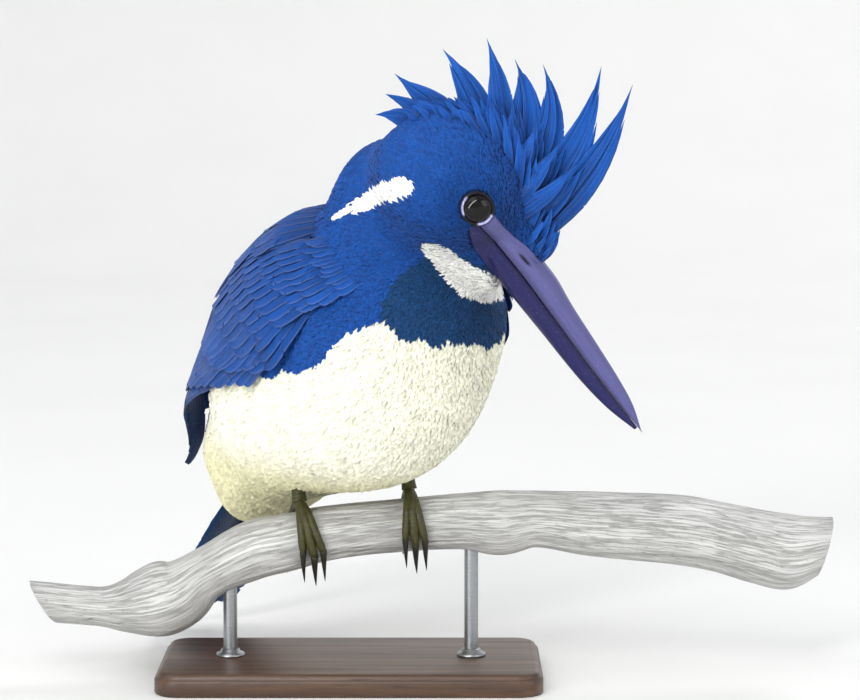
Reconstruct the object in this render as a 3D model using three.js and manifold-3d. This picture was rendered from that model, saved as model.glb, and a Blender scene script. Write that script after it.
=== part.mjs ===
// A life-size still model of an adult male belted kingfisher. It leans forward on a cut length of
// weathered branch, with its head turned to its left, its bill pointing down and its crest raised, on a
// plain display stand. Millimetres, +Z up. The origin is the centre of the stand's underside, and +X runs
// along the branch.
import * as THREE from "three";
import { mergeVertices } from "three/addons/utils/BufferGeometryUtils.js";
import Module from "manifold-3d";

const wasm = await Module();
wasm.setup();

// ---------------------------------------------------------------- driving dimensions, in mm and degrees
const GAP = 0.3; // between pieces that touch

// The bird's pose. A yaw of 0 faces +X and of 90 faces -Y; pitch is above the horizon.
const BODY = { centre: [-2, 2, 102], yaw: 55, pitch: 40 };
const HEAD = { centre: [35, -52, 154], yaw: 6, pitch: -51 };

// Forms of flesh and down, as ellipsoids: centre and half sizes forward, left and up in the body's or the
// head's frame
const TORSO_FORMS = [
  { name: "breast", centre: [22, 0, -3], half: [39, 40, 37] },
  { name: "belly", centre: [-10, 0, -4], half: [44, 38, 30] },
  { name: "paunch", centre: [6, 0, -21], half: [32, 33, 25] },
  { name: "mantle", centre: [-2, 0, 11], half: [46, 34, 28] },
  { name: "rump", centre: [-46, 0, 5], half: [31, 23.5, 16] },
  { name: "vent", centre: [-52, 0, -7], half: [28, 19.5, 13] },
];
const HEAD_FORMS = [
  { name: "skull", centre: [-5, 0, 1], half: [23, 19, 20] },
  { name: "left brow", centre: [4.5, 9.5, 3.5], half: [8.5, 8.5, 7.5] },
  { name: "right brow", centre: [4.5, -9.5, 3.5], half: [8.5, 8.5, 7.5] },
  { name: "cheeks", centre: [-8, 0, -7], half: [19, 20, 14] },
  { name: "forehead", centre: [12, 0, 5], half: [18, 9, 8.5] },
  { name: "chin", centre: [11, 0, -9], half: [16, 8, 5.5] },
];
// How far behind the head's centre the neck's middle lies, and its half sizes, the first along the neck
const NECK = { behind: 30, half: [22, 23, 24] };
const NAPE = { centre: [16, -30, 150], half: [20, 22, 21] };
const NECK_CUTS = [37, 15]; // how far behind the head's centre the neck starts and ends
const BODY_BLEND = 10; // how softly the torso's and neck's forms run together
const HEAD_BLEND = 6;

// Eyes, in the head's frame, and the ring of lids round each: how thick it is, its radius and how far out of
// the eye's centre it lies as shares of the eye's radius, its stretch forward and up, and its lean
const EYE = { forward: 4.4, up: 2.9, radius: 4.9, proud: 1.9 };
const LIDS = { thick: 0.75, ring: 0.88, out: 0.52, stretch: [1.08, 0.98], lean: [0.22, 0.1] };

// Bill: profiles along the head's forward axis, as [forward, value]
const BILL = {
  culmen: [[6, 6.4], [28, 6.7], [35, 6.6], [44, 5.2], [60, 3.5], [70, 2.3], [78, 0.8], [86, -2.2]],
  commissure: [[6, 0.4], [28, 0.1], [44, -0.8], [60, -1.7], [86, -2.3]],
  gonys: [[6, -6], [24, -6.9], [44, -6.9], [62, -6.8], [74, -5.7], [84, -3.4]],
  halfWidth: [[6, 12.4], [13, 11.6], [20, 10], [30, 7.9], [46, 5.4], [66, 3.1], [80, 1.4], [86, 0.5]],
  base: 6,
  tip: 86,
  lowerTip: 84,
  lowerWidth: 0.94,
  roundness: 0.8, // below 1 makes the section fuller
};
const NOSTRIL = { forward: 33, up: 2.6, length: 4.2, radius: 0.65, lean: 4, out: 0.9 };

// Crest: the tips of its middle row from nape to forehead, forward and up in the head's frame, and the
// directions of the first and last root from the head's centre
const CREST = {
  tips: [
    [-36, -5], [-39, 3], [-42, 10], [-38, 24], [-32, 36], [-22, 38], [-15, 44], [-4, 56], [6, 59],
  ],
  rootFrom: 186,
  rootTo: 17,
  sunk: 5,
  bow: 0.06, // of a lock's length, away from the crest's middle
  fan: 1.5, // how much further left a row ends than it is rooted
  twist: 2, // degrees for each mm to the left
  vary: { end: 1.2, twist: 8 },
  tipThickness: 0.35,
  outline: [[0, 1], [0.5, 0.9], [1, 0.05]], // a lock's [share of its length, share of its half width]
};
// Its rows: how far left each is rooted, the share of the middle row's length, half width and thickness of
// its locks, whether they stand between the middle row's tips, and how many fewer they are
const CREST_ROWS = [
  { left: 0, reach: 1, halfWidth: 4.4, thickness: 2 },
  { left: 3.4, reach: 0.82, halfWidth: 4.4, thickness: 1.9, between: true },
  { left: -3.8, reach: 0.82, halfWidth: 4.4, thickness: 1.9, between: true },
  { left: 8.4, reach: 0.56, halfWidth: 4.6, thickness: 1.8, fewer: 4 },
  { left: -8.8, reach: 0.6, halfWidth: 4.4, thickness: 1.8, fewer: 4 },
];

// Wings. Places are [along, round]: mm along the body's axis, and degrees round it from the back to the
// belly. Each tier runs from its first feather, nearest the belly, to its last: where they are rooted and
// end, their half width, how far they lie over the body's form, and how much further their tips lift off.
const WING_TIERS = [
  {
    name: "primaries", count: 5, shape: "pointed", half: [3.7, 3.3], rise: [1.6, 3.8], lift: 2.4,
    roots: [[4, 106], [-18, 70]],
    tips: [[-63, 60], [-75, 56], [-82, 49], [-84, 40], [-81, 29]],
  },
  {
    name: "secondaries", count: 5, shape: "round", half: [5.4, 5.2], rise: [3.9, 4.7],
    roots: [[4, 92], [-4, 54]], tips: [[-38, 66], [-60, 34]],
  },
  {
    name: "tertials", count: 3, shape: "round", half: [5.6, 5.4], rise: [5.2, 6.2],
    roots: [[-2, 44], [8, 26]], tips: [[-64, 30], [-48, 13]],
  },
  {
    name: "primary coverts", count: 3, shape: "covert", half: [4.2, 4.2], rise: [3.1, 4.1],
    roots: [[34, 112], [28, 98]], tips: [[2, 111], [-6, 96]],
  },
  {
    name: "greater coverts", count: 5, shape: "covert", half: [6.2, 6.2], rise: [5, 6.2],
    roots: [[22, 90], [8, 40]], tips: [[-12, 83], [-26, 35]],
  },
  {
    name: "median coverts", count: 4, shape: "covert", half: [7.6, 7.6], rise: [5.2, 6.4],
    roots: [[36, 94], [22, 42]], tips: [[5, 88], [-8, 35]],
  },
];
const WING_PAD = {
  low: [[-22, 82], [-8, 94], [8, 108], [20, 113], [35, 113], [47, 104]],
  high: [[-22, 22], [20, 30], [35, 44], [47, 84]],
  front: 47, back: -22, thickness: 3, rise: [4.2, 1.6], cells: [5, 4],
};
const VANE = { root: 1.4, tilt: 2.1 };
// Round a vane's section: [share of its half width, mm up]
const VANE_RING = [[1, 0], [0, 0.15], [-1, 0], [-1, -0.5], [1, -0.5]];
// Outlines of a vane: [share of its length, share of its half width]
const VANE_SHAPES = {
  pointed: [[0, 0.7], [0.2, 0.95], [0.42, 1], [0.64, 0.96], [0.87, 0.62], [1, 0.12]],
  round: [[0, 0.8], [0.3, 1], [0.62, 1], [0.9, 0.8], [1, 0.3]],
  covert: [[0, 0.75], [0.45, 1], [0.86, 0.85], [1, 0.3]],
};
// The form that the folded wing tips lie on
const FAIRING = { centre: [-84, 0, 5], half: [54, 17, 9] };

// Tail
const TAIL = {
  pitch: 44, root: -56, up: -1, feathers: 12, length: 79, half: 5.4, rootSpread: 8.5, tipSpread: 10,
  rounding: 5, stack: 4.6, sag: 3, sunk: 12, tilt: 0.3, middle: 0.35,
};
// The flesh that carries it: [along, half width, half thickness]
const TAIL_ROOT = [[12, 8, 3.4], [-4, 8, 3], [-16, 7, 1.6]];

// Feet: each stands on the branch at x. A toe is [how far its tip lies beside the foot's middle, degrees
// it goes round the branch from the top towards the bird's front, radius].
const FEET = { right: { x: -16, slant: 5 }, left: { x: 18.5, slant: 2 } };
const TOES = {
  inner: [-3.3, 104, 1.6], middle: [0, 118, 1.85], outer: [3.3, 112, 1.65], hind: [1, -96, 1.75],
};
const TOE_START = 12; // how far past the branch's top, the other way, each toe starts
const FULL_TURN = 118; // where a toe has all its sideways slant
const TOE_TAPER = 0.78;
// Claws: degrees from the toe's end to the claw's start and bend, mm from there down to its tip, and its
// half thickness at the start and bend as shares of the toe's, and at the tip in mm
const CLAW = { start: 2.6, turn: 20, drop: 6.4, half: [0.72, 0.5], tip: 0.18 };
const SHANK = { radius: 2.3, top: 68, back: 2, inward: 3 };

// Branch: [x, height of its axis, half thickness]
const PERCH_LINE = [
  [-97, 24.3, 6.9], [-79, 22.8, 6.4], [-72, 22.8, 8.3], [-65, 23.9, 10.9], [-59, 25.4, 12],
  [-53, 27.7, 10.9], [-46, 33, 8.7], [-31, 40.6, 9.7], [-20, 43.2, 9.4], [-9, 45.8, 9],
  [9, 48, 8.5], [34, 49.8, 9.2], [47, 49.5, 10.6], [58, 50.6, 9.3], [74, 49.3, 10.4],
  [104, 47, 11.2], [116, 44.9, 11.2], [129, 41.7, 11.9], [138, 40.2, 12.2], [149, 42, 9.6],
];
// How far its ends are cut aslant: [x, mm along it for each mm up]
const PERCH_CUT = [[-97, -0.66], [-83, 0], [136, 0], [149, 0.36]];
const PERCH_STATIONS = 36;
const PERCH_SIDES = 12;

// Stand
const BASE = { halfLength: 60, halfDepth: 30, thickness: 7, bevel: 1.2, corner: 8 };
const ROD = { radius: 2.2, x: { left: -38, right: 38 } };

// ---------------------------------------------------------------- small helpers
const rad = THREE.MathUtils.degToRad;
const mix = THREE.MathUtils.lerp;
const v3 = (x, y, z) => new THREE.Vector3(x, y, z);

// The value at x of a profile given as [x, value] pairs, in straight steps.
function profile(pairs, x) {
  const next = pairs.findIndex(([at]) => at >= x);
  const i = next < 0 ? pairs.length - 1 : Math.max(next, 1);
  const [[x0, y0], [x1, y1]] = [pairs[i - 1], pairs[i]];
  return mix(y0, y1, THREE.MathUtils.clamp((x - x0) / (x1 - x0), 0, 1));
}

// The same as a smooth curve through the pairs.
function smoothProfile(pairs, x) {
  const last = pairs.length - 1;
  const next = pairs.findIndex(([at]) => at >= x);
  const i = next < 0 ? last : Math.max(next, 1);
  const slope = (j) => {
    const [a, b] = [pairs[Math.max(j - 1, 0)], pairs[Math.min(j + 1, last)]];
    return (b[1] - a[1]) / (b[0] - a[0]);
  };
  const [[x0, y0], [x1, y1]] = [pairs[i - 1], pairs[i]];
  const [h, t] = [x1 - x0, (x - x0) / (x1 - x0)];
  const bends = h * slope(i - 1) * (t ** 3 - 2 * t ** 2 + t) + h * slope(i) * (t ** 3 - t ** 2);
  return mix(y0, y1, 3 * t ** 2 - 2 * t ** 3) + bends;
}

// A repeatable random number from -1 to 1.
let seed = 7;
function vary() {
  seed = (seed * 16807) % 2147483647;
  return (seed / 2147483647) * 2 - 1;
}

// ---------------------------------------------------------------- frames
// The frame of a body part: X forward, Y to its left, Z up from its back or crown.
function partFrame({ centre, yaw, pitch }) {
  const [y, p] = [rad(yaw), rad(pitch)];
  const forward = v3(Math.cos(p) * Math.cos(y), -Math.cos(p) * Math.sin(y), Math.sin(p));
  const left = v3(Math.sin(y), Math.cos(y), 0);
  return new THREE.Matrix4().makeBasis(forward, left, forward.clone().cross(left)).setPosition(...centre);
}
const bodyFrame = partFrame(BODY);
const headFrame = partFrame(HEAD);
const headCentre = v3(...HEAD.centre);
const inHead = (forward, left, up) => v3(forward, left, up).applyMatrix4(headFrame);

// The neck runs from the front of the breast to the head's centre.
const neckLine = headCentre.clone().sub(v3(38, 0, 0).applyMatrix4(bodyFrame)).normalize();
const neckPoint = (behind) => headCentre.clone().addScaledVector(neckLine, -behind);
const neckSide = v3(0, 0, 1).cross(neckLine).normalize();
const neckFrame = new THREE.Matrix4()
  .makeBasis(neckLine, neckSide, neckLine.clone().cross(neckSide))
  .setPosition(neckPoint(NECK.behind));

// ---------------------------------------------------------------- fields
// A field gives about the distance of a point from a form's surface, negative inside.
function ellipsoid(frame, { centre, half }) {
  const inverse = frame.clone().multiply(new THREE.Matrix4().makeTranslation(...centre)).invert();
  const q = v3();
  return (p) => {
    q.copy(p).applyMatrix4(inverse);
    const k0 = Math.hypot(q.x / half[0], q.y / half[1], q.z / half[2]);
    const k1 = Math.hypot(q.x / half[0] ** 2, q.y / half[1] ** 2, q.z / half[2] ** 2);
    return k1 < 1e-9 ? -Math.min(...half) : (k0 * (k0 - 1)) / k1;
  };
}

// The union of fields, with a soft fillet where they meet.
const blend = (fields, softness) => (p) =>
  fields.reduce((a, field) => {
    const b = field(p);
    const h = Math.max(softness - Math.abs(a - b), 0) / softness;
    return Math.min(a, b) - (h * h * softness) / 4;
  }, 1e3);

const torsoForms = TORSO_FORMS.map((form) => ellipsoid(bodyFrame, form));
const neckForms = [
  ellipsoid(neckFrame, { centre: [0, 0, 0], half: NECK.half }),
  ellipsoid(new THREE.Matrix4(), NAPE),
];
const headField = blend(HEAD_FORMS.map((form) => ellipsoid(headFrame, form)), HEAD_BLEND);
const birdField = blend([...torsoForms, ...neckForms, headField], BODY_BLEND);
const guideField = blend([...torsoForms, ellipsoid(bodyFrame, FAIRING)], BODY_BLEND);

// How far from a point along a direction a field's surface is first met.
function reach(field, from, direction) {
  const p = v3();
  const inside = (d) => field(p.copy(from).addScaledVector(direction, d)) < 0;
  const step = 1.5;
  let [near, far] = [0, step];
  while (inside(far)) [near, far] = [far, far + step];
  for (let i = 0; i < 20; i++) {
    const middle = (near + far) / 2;
    if (inside(middle)) near = middle;
    else far = middle;
  }
  return far;
}

// ---------------------------------------------------------------- solids
function solid(geometry) {
  const g = geometry.clone();
  g.deleteAttribute("normal");
  g.deleteAttribute("uv");
  const merged = mergeVertices(g, 1e-3);
  return new wasm.Manifold(
    new wasm.Mesh({
      numProp: 3,
      vertProperties: new Float32Array(merged.attributes.position.array),
      triVerts: new Uint32Array(merged.index.array),
    }),
  );
}

const join = (solids) => solids.reduce((a, b) => a.add(b));

// The largest closed surface of a solid, which drops scraps and fills sealed hollows.
const largest = (s) => s.decompose().reduce((a, b) => (b.volume() > a.volume() ? b : a));

function mesh(name, s, colour, roughness, metalness = 0) {
  const { vertProperties, triVerts } = largest(s).getMesh();
  const g = new THREE.BufferGeometry();
  g.setAttribute("position", new THREE.BufferAttribute(new Float32Array(vertProperties), 3));
  g.setIndex(new THREE.BufferAttribute(new Uint32Array(triVerts), 1));
  g.computeVertexNormals();
  const made = new THREE.Mesh(g, new THREE.MeshStandardMaterial({ color: colour, roughness, metalness }));
  made.name = name;
  return made;
}

// A closed solid from points and the faces over them.
function closed(points, faces) {
  const g = new THREE.BufferGeometry();
  g.setAttribute("position", new THREE.Float32BufferAttribute(points.flatMap((p) => [p.x, p.y, p.z]), 3));
  g.setIndex(faces);
  const made = solid(g);
  return made.volume() < 0 ? solid(g.setIndex(faces.reverse())) : made;
}

// A closed skin over rings of points.
function loft(rings) {
  const n = rings[0].length;
  const faces = [];
  for (let i = 0; i + 1 < rings.length; i++)
    for (let j = 0; j < n; j++) {
      const [a, b] = [i * n + j, i * n + ((j + 1) % n)];
      faces.push(a, a + n, b + n, a, b + n, b);
    }
  const last = (rings.length - 1) * n;
  for (let j = 1; j + 1 < n; j++) faces.push(0, j, j + 1, last, last + j + 1, last + j);
  return closed(rings.flat(), faces);
}

// A closed sheet between two surfaces, each point(s, t, layer) with s and t from 0 to 1, and layer 0
// outside or 1 inside.
function sheet(point, columns, rows) {
  const n = columns + 1;
  const under = n * (rows + 1);
  const points = [];
  for (const layer of [0, 1])
    for (let i = 0; i <= rows; i++)
      for (let j = 0; j <= columns; j++) points.push(point(j / columns, i / rows, layer));
  const faces = [];
  const wall = (a, b) => faces.push(a, b, under + b, a, under + b, under + a);
  for (let i = 0; i < rows; i++)
    for (let j = 0; j < columns; j++) {
      const a = i * n + j;
      faces.push(a, a + 1, a + n + 1, a, a + n + 1, a + n);
      faces.push(under + a, under + a + n + 1, under + a + 1);
      faces.push(under + a, under + a + n, under + a + n + 1);
    }
  for (let j = 0; j < columns; j++) {
    wall(j + 1, j);
    wall(rows * n + j, rows * n + j + 1);
  }
  for (let i = 0; i < rows; i++) {
    wall(i * n, (i + 1) * n);
    wall((i + 1) * n + columns, i * n + columns);
  }
  return closed(points, faces);
}

// A round tube along points, with a radius at each.
function tube(points, radii, sides) {
  return loft(
    points.map((p, i) => {
      const [before, after] = [points[Math.max(i - 1, 0)], points[Math.min(i + 1, points.length - 1)]];
      const along = after.clone().sub(before).normalize();
      const across = v3(1, 0, 0).addScaledVector(along, -along.x).normalize();
      const up = along.clone().cross(across);
      return Array.from({ length: sides }, (_, j) => {
        const t = (j / sides) * 2 * Math.PI;
        const out = across.clone().multiplyScalar(Math.cos(t)).addScaledVector(up, Math.sin(t));
        return p.clone().addScaledVector(out, radii[i]);
      });
    }),
  );
}

// A field's solid as seen from its centre: a sphere pushed out to the field's surface.
function star(field, centre, detail, grow = 0) {
  const g = new THREE.IcosahedronGeometry(1, detail);
  const at = g.attributes.position;
  const grown = (p) => field(p) - grow;
  const direction = v3();
  for (let i = 0; i < at.count; i++) {
    direction.fromBufferAttribute(at, i).normalize();
    const p = centre.clone().addScaledVector(direction, reach(grown, centre, direction));
    at.setXYZ(i, p.x, p.y, p.z);
  }
  return solid(g);
}

// Everything beyond a point along a direction, as a block.
function beyond(point, direction) {
  const size = 400;
  const turn = new THREE.Quaternion().setFromUnitVectors(v3(0, 0, 1), direction);
  const g = new THREE.BoxGeometry(size, size, size).translate(0, 0, size / 2).applyQuaternion(turn);
  return solid(g.translate(...point));
}

// ---------------------------------------------------------------- torso, neck and head
const SPARE = 6; // how far each of them runs past its cut before it is trimmed
const headward = (behind) => beyond(neckPoint(behind - GAP / 2), neckLine);
const bodyward = (behind) => beyond(neckPoint(behind + GAP / 2), neckLine.clone().negate());
// A field cut off at a plane across the neck; the way is 1 for what lies towards the body.
const cutOff = (field, behind, way) => (p) =>
  Math.max(field(p), way * (neckLine.dot(p) - neckLine.dot(neckPoint(behind))));

const torsoField = cutOff(birdField, NECK_CUTS[0] - SPARE, 1);
const torsoCentre = v3(2, 0, 0).applyMatrix4(bodyFrame);
const torsoDetail = 6;
const torso = star(torsoField, torsoCentre, torsoDetail).intersect(bodyward(NECK_CUTS[0]));
const torsoGrown = star(torsoField, torsoCentre, torsoDetail, GAP);

const neck = star(birdField, neckPoint((NECK_CUTS[0] + NECK_CUTS[1]) / 2), 6)
  .intersect(headward(NECK_CUTS[0]))
  .intersect(bodyward(NECK_CUTS[1]));

const skullField = cutOff(birdField, NECK_CUTS[1] + SPARE, -1);
const skullDetail = 6;
const skull = star(skullField, headCentre, skullDetail).intersect(headward(NECK_CUTS[1]));
const skullGrown = star(skullField, headCentre, skullDetail, GAP);

// ---------------------------------------------------------------- bill
// One half of the bill: a flat mouth face and an arch out to its ridge. The side is 1 for the upper half.
function mandible(ridge, tip, side) {
  const stations = [0, 0.14, 0.32, 0.52, 0.72, 0.86, 0.95, 1];
  const archPoints = 7;
  return loft(
    stations.map((s) => {
      const x = mix(BILL.base, tip, s);
      const mouth = profile(BILL.commissure, x) + (side * GAP) / 2;
      const height = Math.max(side * (profile(ridge, x) - mouth), 0.3);
      const width = profile(BILL.halfWidth, x) * (side > 0 ? 1 : BILL.lowerWidth);
      return Array.from({ length: archPoints }, (_, j) => {
        const t = Math.PI * (j / (archPoints - 1));
        return inHead(x, width * Math.cos(t), mouth + side * height * Math.sin(t) ** BILL.roundness);
      });
    }),
  );
}

function nostril(side) {
  const { forward, up, length, radius, lean, out } = NOSTRIL;
  const left = side * out * profile(BILL.halfWidth, forward);
  const ends = [-0.5, 0.5].map((s) =>
    inHead(forward + s * length * Math.cos(rad(lean)), left, up + s * length * Math.sin(rad(lean))),
  );
  return tube(ends, [radius, radius], 6);
}

const upperBill = mandible(BILL.culmen, BILL.tip, 1)
  .subtract(skullGrown)
  .subtract(join([nostril(1), nostril(-1)]));
const lowerBill = mandible(BILL.gonys, BILL.lowerTip, -1).subtract(skullGrown);

// ---------------------------------------------------------------- eyes, and the ring of lids round each
function eyeCentre(side) {
  const from = inHead(EYE.forward, 0, EYE.up);
  const out = v3(0, side, 0).transformDirection(headFrame);
  return from.addScaledVector(out, reach(birdField, from, out) + EYE.proud - EYE.radius);
}

const eyeBall = (side, grow = 0) =>
  solid(new THREE.IcosahedronGeometry(EYE.radius + grow, 2).translate(...eyeCentre(side)));

function eyelids(side) {
  const out = v3(LIDS.lean[0], side, LIDS.lean[1]).normalize();
  const lids = new THREE.TorusGeometry(EYE.radius * LIDS.ring, LIDS.thick, 5, 14)
    .scale(...LIDS.stretch, 1)
    .applyQuaternion(new THREE.Quaternion().setFromUnitVectors(v3(0, 0, 1), out))
    .applyMatrix4(new THREE.Matrix4().extractRotation(headFrame));
  out.transformDirection(headFrame);
  return solid(lids.translate(...eyeCentre(side).addScaledVector(out, EYE.radius * LIDS.out)));
}

// ---------------------------------------------------------------- crest, lock by lock
const headLeft = v3(0, 1, 0).transformDirection(headFrame);
const lastTip = CREST.tips.length - 1;

// Where the crest's middle row is rooted and ends, at a share of the way from the nape to the forehead.
function crestLine(share, left) {
  const turn = rad(mix(CREST.rootFrom, CREST.rootTo, share));
  const from = inHead(0, left * 0.4, 0);
  const direction = v3(Math.cos(turn), left / 26, Math.sin(turn)).transformDirection(headFrame);
  const root = from.addScaledVector(direction, reach(birdField, from, direction) - CREST.sunk);
  const i = Math.min(Math.floor(share * lastTip), lastTip - 1);
  const rest = share * lastTip - i;
  const [forward, up] = [0, 1].map((k) => mix(CREST.tips[i][k], CREST.tips[i + 1][k], rest));
  return { root, forward, up };
}

function crestLock(row, share) {
  const { root, forward, up } = crestLine(share, row.left);
  const [x, y, z] = [forward, row.left * CREST.fan, up].map((at) => at + CREST.vary.end * vary());
  const end = inHead(x, y, z);
  const line = end.sub(root).multiplyScalar(row.reach);
  const along = line.clone().normalize();
  const face = headLeft.clone().addScaledVector(along, -headLeft.dot(along)).normalize();
  const width = along.clone().cross(face);
  const twist = rad(CREST.twist * row.left + CREST.vary.twist * vary());
  for (const way of [face, width]) way.applyAxisAngle(along, twist);
  const bow = CREST.bow * line.length() * (0.5 - share);
  return loft(
    CREST.outline.map(([s, w]) => {
      const rib = root.clone().addScaledVector(line, s);
      rib.addScaledVector(width, bow * Math.sin(Math.PI * s));
      const thick = (row.thickness / 2) * mix(1, CREST.tipThickness, s);
      return [[row.halfWidth * w, 0], [0, thick], [-row.halfWidth * w, 0], [0, -thick]].map(([x, y]) =>
        rib.clone().addScaledVector(width, x).addScaledVector(face, y),
      );
    }),
  );
}

function crest() {
  return CREST_ROWS.flatMap((row) => {
    const count = lastTip + (row.between ? 0 : 1) - (row.fewer ?? 0);
    const first = (row.between ? 0.5 : 0) + (row.fewer ?? 0) / 2;
    return Array.from({ length: count }, (_, i) => crestLock(row, (i + first) / lastTip));
  });
}

const head = join([skull, eyelids(1), eyelids(-1), ...crest()])
  .subtract(join([eyeBall(1, GAP), eyeBall(-1, GAP)]))
  .intersect(headward(NECK_CUTS[1]));

// ---------------------------------------------------------------- wings
// A place over the body's form: mm along its axis, degrees round it from the back, and a height over it.
function overBody(along, round, side, height) {
  const from = v3(along, 0, 0).applyMatrix4(bodyFrame);
  const direction = v3(0, side * Math.sin(rad(round)), Math.cos(rad(round))).transformDirection(bodyFrame);
  return from.addScaledVector(direction, reach(guideField, from, direction) + height);
}

// A vane that lies over the body from its root to its tip, its edge nearer the belly raised over its
// neighbour's.
function bodyVane(side, root, tip, { half, rise, lift, shape }) {
  const middle = [0, 1].map((i) => (root[i] + tip[i]) / 2);
  const from = v3(middle[0], 0, 0).applyMatrix4(bodyFrame);
  const girth = rad(1) * overBody(...middle, side, rise).distanceTo(from); // mm to a degree
  const way = new THREE.Vector2(tip[0] - root[0], (tip[1] - root[1]) * girth).normalize();
  return loft(
    shape.map(([s, w]) => {
      const height = mix(VANE.root, rise, Math.min(s * 2.2, 1)) + lift * s ** 3;
      const place = (share, up) =>
        overBody(
          mix(root[0], tip[0], s) + half * w * share * way.y,
          mix(root[1], tip[1], s) - (half * w * share * way.x) / girth,
          side,
          height + up + (VANE.tilt / 2) * share * w,
        );
      return VANE_RING.map(([share, up]) => place(share, up));
    }),
  );
}

function wing(side) {
  const pad = sheet(
    (s, t, layer) => {
      const along = mix(WING_PAD.back, WING_PAD.front, t);
      const round = mix(profile(WING_PAD.high, along), profile(WING_PAD.low, along), s);
      return overBody(along, round, side, mix(...WING_PAD.rise, s) - layer * WING_PAD.thickness);
    },
    ...WING_PAD.cells,
  );
  const vanes = WING_TIERS.flatMap((tier) =>
    Array.from({ length: tier.count }, (_, i) => {
      const share = i / (tier.count - 1);
      const between = ([a, b]) => [mix(a[0], b[0], share), mix(a[1], b[1], share)];
      const tip = tier.tips.length > 2 ? [...tier.tips[i]] : between(tier.tips);
      tip[0] += vary();
      return bodyVane(side, between(tier.roots), tip, {
        half: mix(...tier.half, share),
        rise: mix(...tier.rise, share),
        lift: tier.lift ?? 0,
        shape: VANE_SHAPES[tier.shape],
      });
    }),
  );
  return join([pad, ...vanes]).subtract(torsoGrown);
}

// ---------------------------------------------------------------- tail
const tailFrame = partFrame({
  centre: v3(TAIL.root, 0, TAIL.up).applyMatrix4(bodyFrame).toArray(),
  yaw: BODY.yaw,
  pitch: TAIL.pitch,
});

// The middle pair lies on top, and each feather outwards under the one before.
function tailFeather(place) {
  const out = Math.abs(place);
  const side = Math.sign(place);
  const length = TAIL.length - TAIL.rounding * out ** 2;
  return loft(
    VANE_SHAPES.round.map(([s, w]) => {
      const x = mix(TAIL.sunk, -length, s);
      const middle = place * mix(TAIL.rootSpread, TAIL.tipSpread, s);
      const height = -TAIL.stack * out - TAIL.sag * s ** 2;
      return VANE_RING.map(([share, up]) => {
        const across = side * share * TAIL.half * w;
        return v3(x, middle + across, height + up - TAIL.tilt * share).applyMatrix4(tailFrame);
      });
    }),
  );
}

function tail() {
  const pairs = TAIL.feathers / 2;
  const place = (i) => (i + TAIL.middle) / (pairs - 1 + TAIL.middle);
  const feathers = [1, -1].flatMap((side) =>
    Array.from({ length: pairs }, (_, i) => tailFeather(side * place(i))),
  );
  const root = loft(
    TAIL_ROOT.map(([x, half, thick]) =>
      Array.from({ length: 10 }, (_, j) => {
        const t = (j / 10) * 2 * Math.PI;
        return v3(x, half * Math.cos(t), thick * (Math.sin(t) - 0.6)).applyMatrix4(tailFrame);
      }),
    ),
  );
  return join([root, ...feathers]).subtract(torsoGrown);
}

// ---------------------------------------------------------------- perch
const perchAxis = (x) => smoothProfile(PERCH_LINE.map(([at, z]) => [at, z]), x);
const perchHalf = (x) => smoothProfile(PERCH_LINE.map(([at, , half]) => [at, half]), x);

function perchSolid(grow = 0) {
  const [start, end] = [PERCH_LINE[0][0], PERCH_LINE.at(-1)[0]];
  return loft(
    Array.from({ length: PERCH_STATIONS + 1 }, (_, i) => {
      const x = mix(start, end, i / PERCH_STATIONS);
      const tilt = Math.atan(perchAxis(x + 0.5) - perchAxis(x - 0.5));
      return Array.from({ length: PERCH_SIDES }, (_, j) => {
        const t = (j / PERCH_SIDES) * 2 * Math.PI;
        const half = perchHalf(x) + grow;
        const out = half * Math.cos(t);
        const along = x + out * (profile(PERCH_CUT, x) - Math.sin(tilt));
        return v3(along, half * Math.sin(t), perchAxis(x) + out * Math.cos(tilt));
      });
    }),
  );
}
const perch = perchSolid();
const perchGrown = perchSolid(GAP);

// ---------------------------------------------------------------- legs, toes and claws
// A place on the branch at x: degrees from its top towards the bird's front, and how far out of its bark.
function onPerch(x, round, out) {
  const r = perchHalf(x) + out;
  return v3(x, -r * Math.sin(rad(round)), perchAxis(x) + r * Math.cos(rad(round)));
}
const toeAcross = ({ x, slant }, spread, round) => x + ((slant + spread) * round) / FULL_TURN;

function toe(place, [spread, to, radius], grow) {
  const steps = 5;
  const from = -Math.sign(to) * TOE_START;
  const rounds = Array.from({ length: steps + 1 }, (_, i) => mix(from, to, i / steps));
  return tube(
    rounds.map((round) => onPerch(toeAcross(place, spread, round), round, GAP + radius)),
    rounds.map((_, i) => radius * mix(1, TOE_TAPER, i / steps) + grow),
    6,
  );
}

function claw(place, [spread, to, radius]) {
  const way = Math.sign(to);
  const x = toeAcross(place, spread, to);
  const start = onPerch(x, to + way * CLAW.start, GAP + radius * 0.8);
  const bend = onPerch(x, to + way * CLAW.turn, GAP + radius * 1.1);
  const tip = bend.clone().add(v3(0.4, way * 0.6, -CLAW.drop));
  return tube([start, bend, tip], [...CLAW.half.map((share) => share * radius), CLAW.tip], 6);
}

function shank({ x }, grow = 0) {
  const foot = onPerch(x, 0, GAP + SHANK.radius - grow);
  const knee = v3(x - SHANK.back, SHANK.inward, SHANK.top + grow);
  return tube([foot, knee], [SHANK.radius * 1.1 + grow, SHANK.radius + grow], 10);
}
const toes = (place, grow = 0) => join(Object.values(TOES).map((size) => toe(place, size, grow)));
const feetGrown = join(Object.values(FEET).flatMap((place) => [toes(place, GAP), shank(place, GAP)]));

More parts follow.
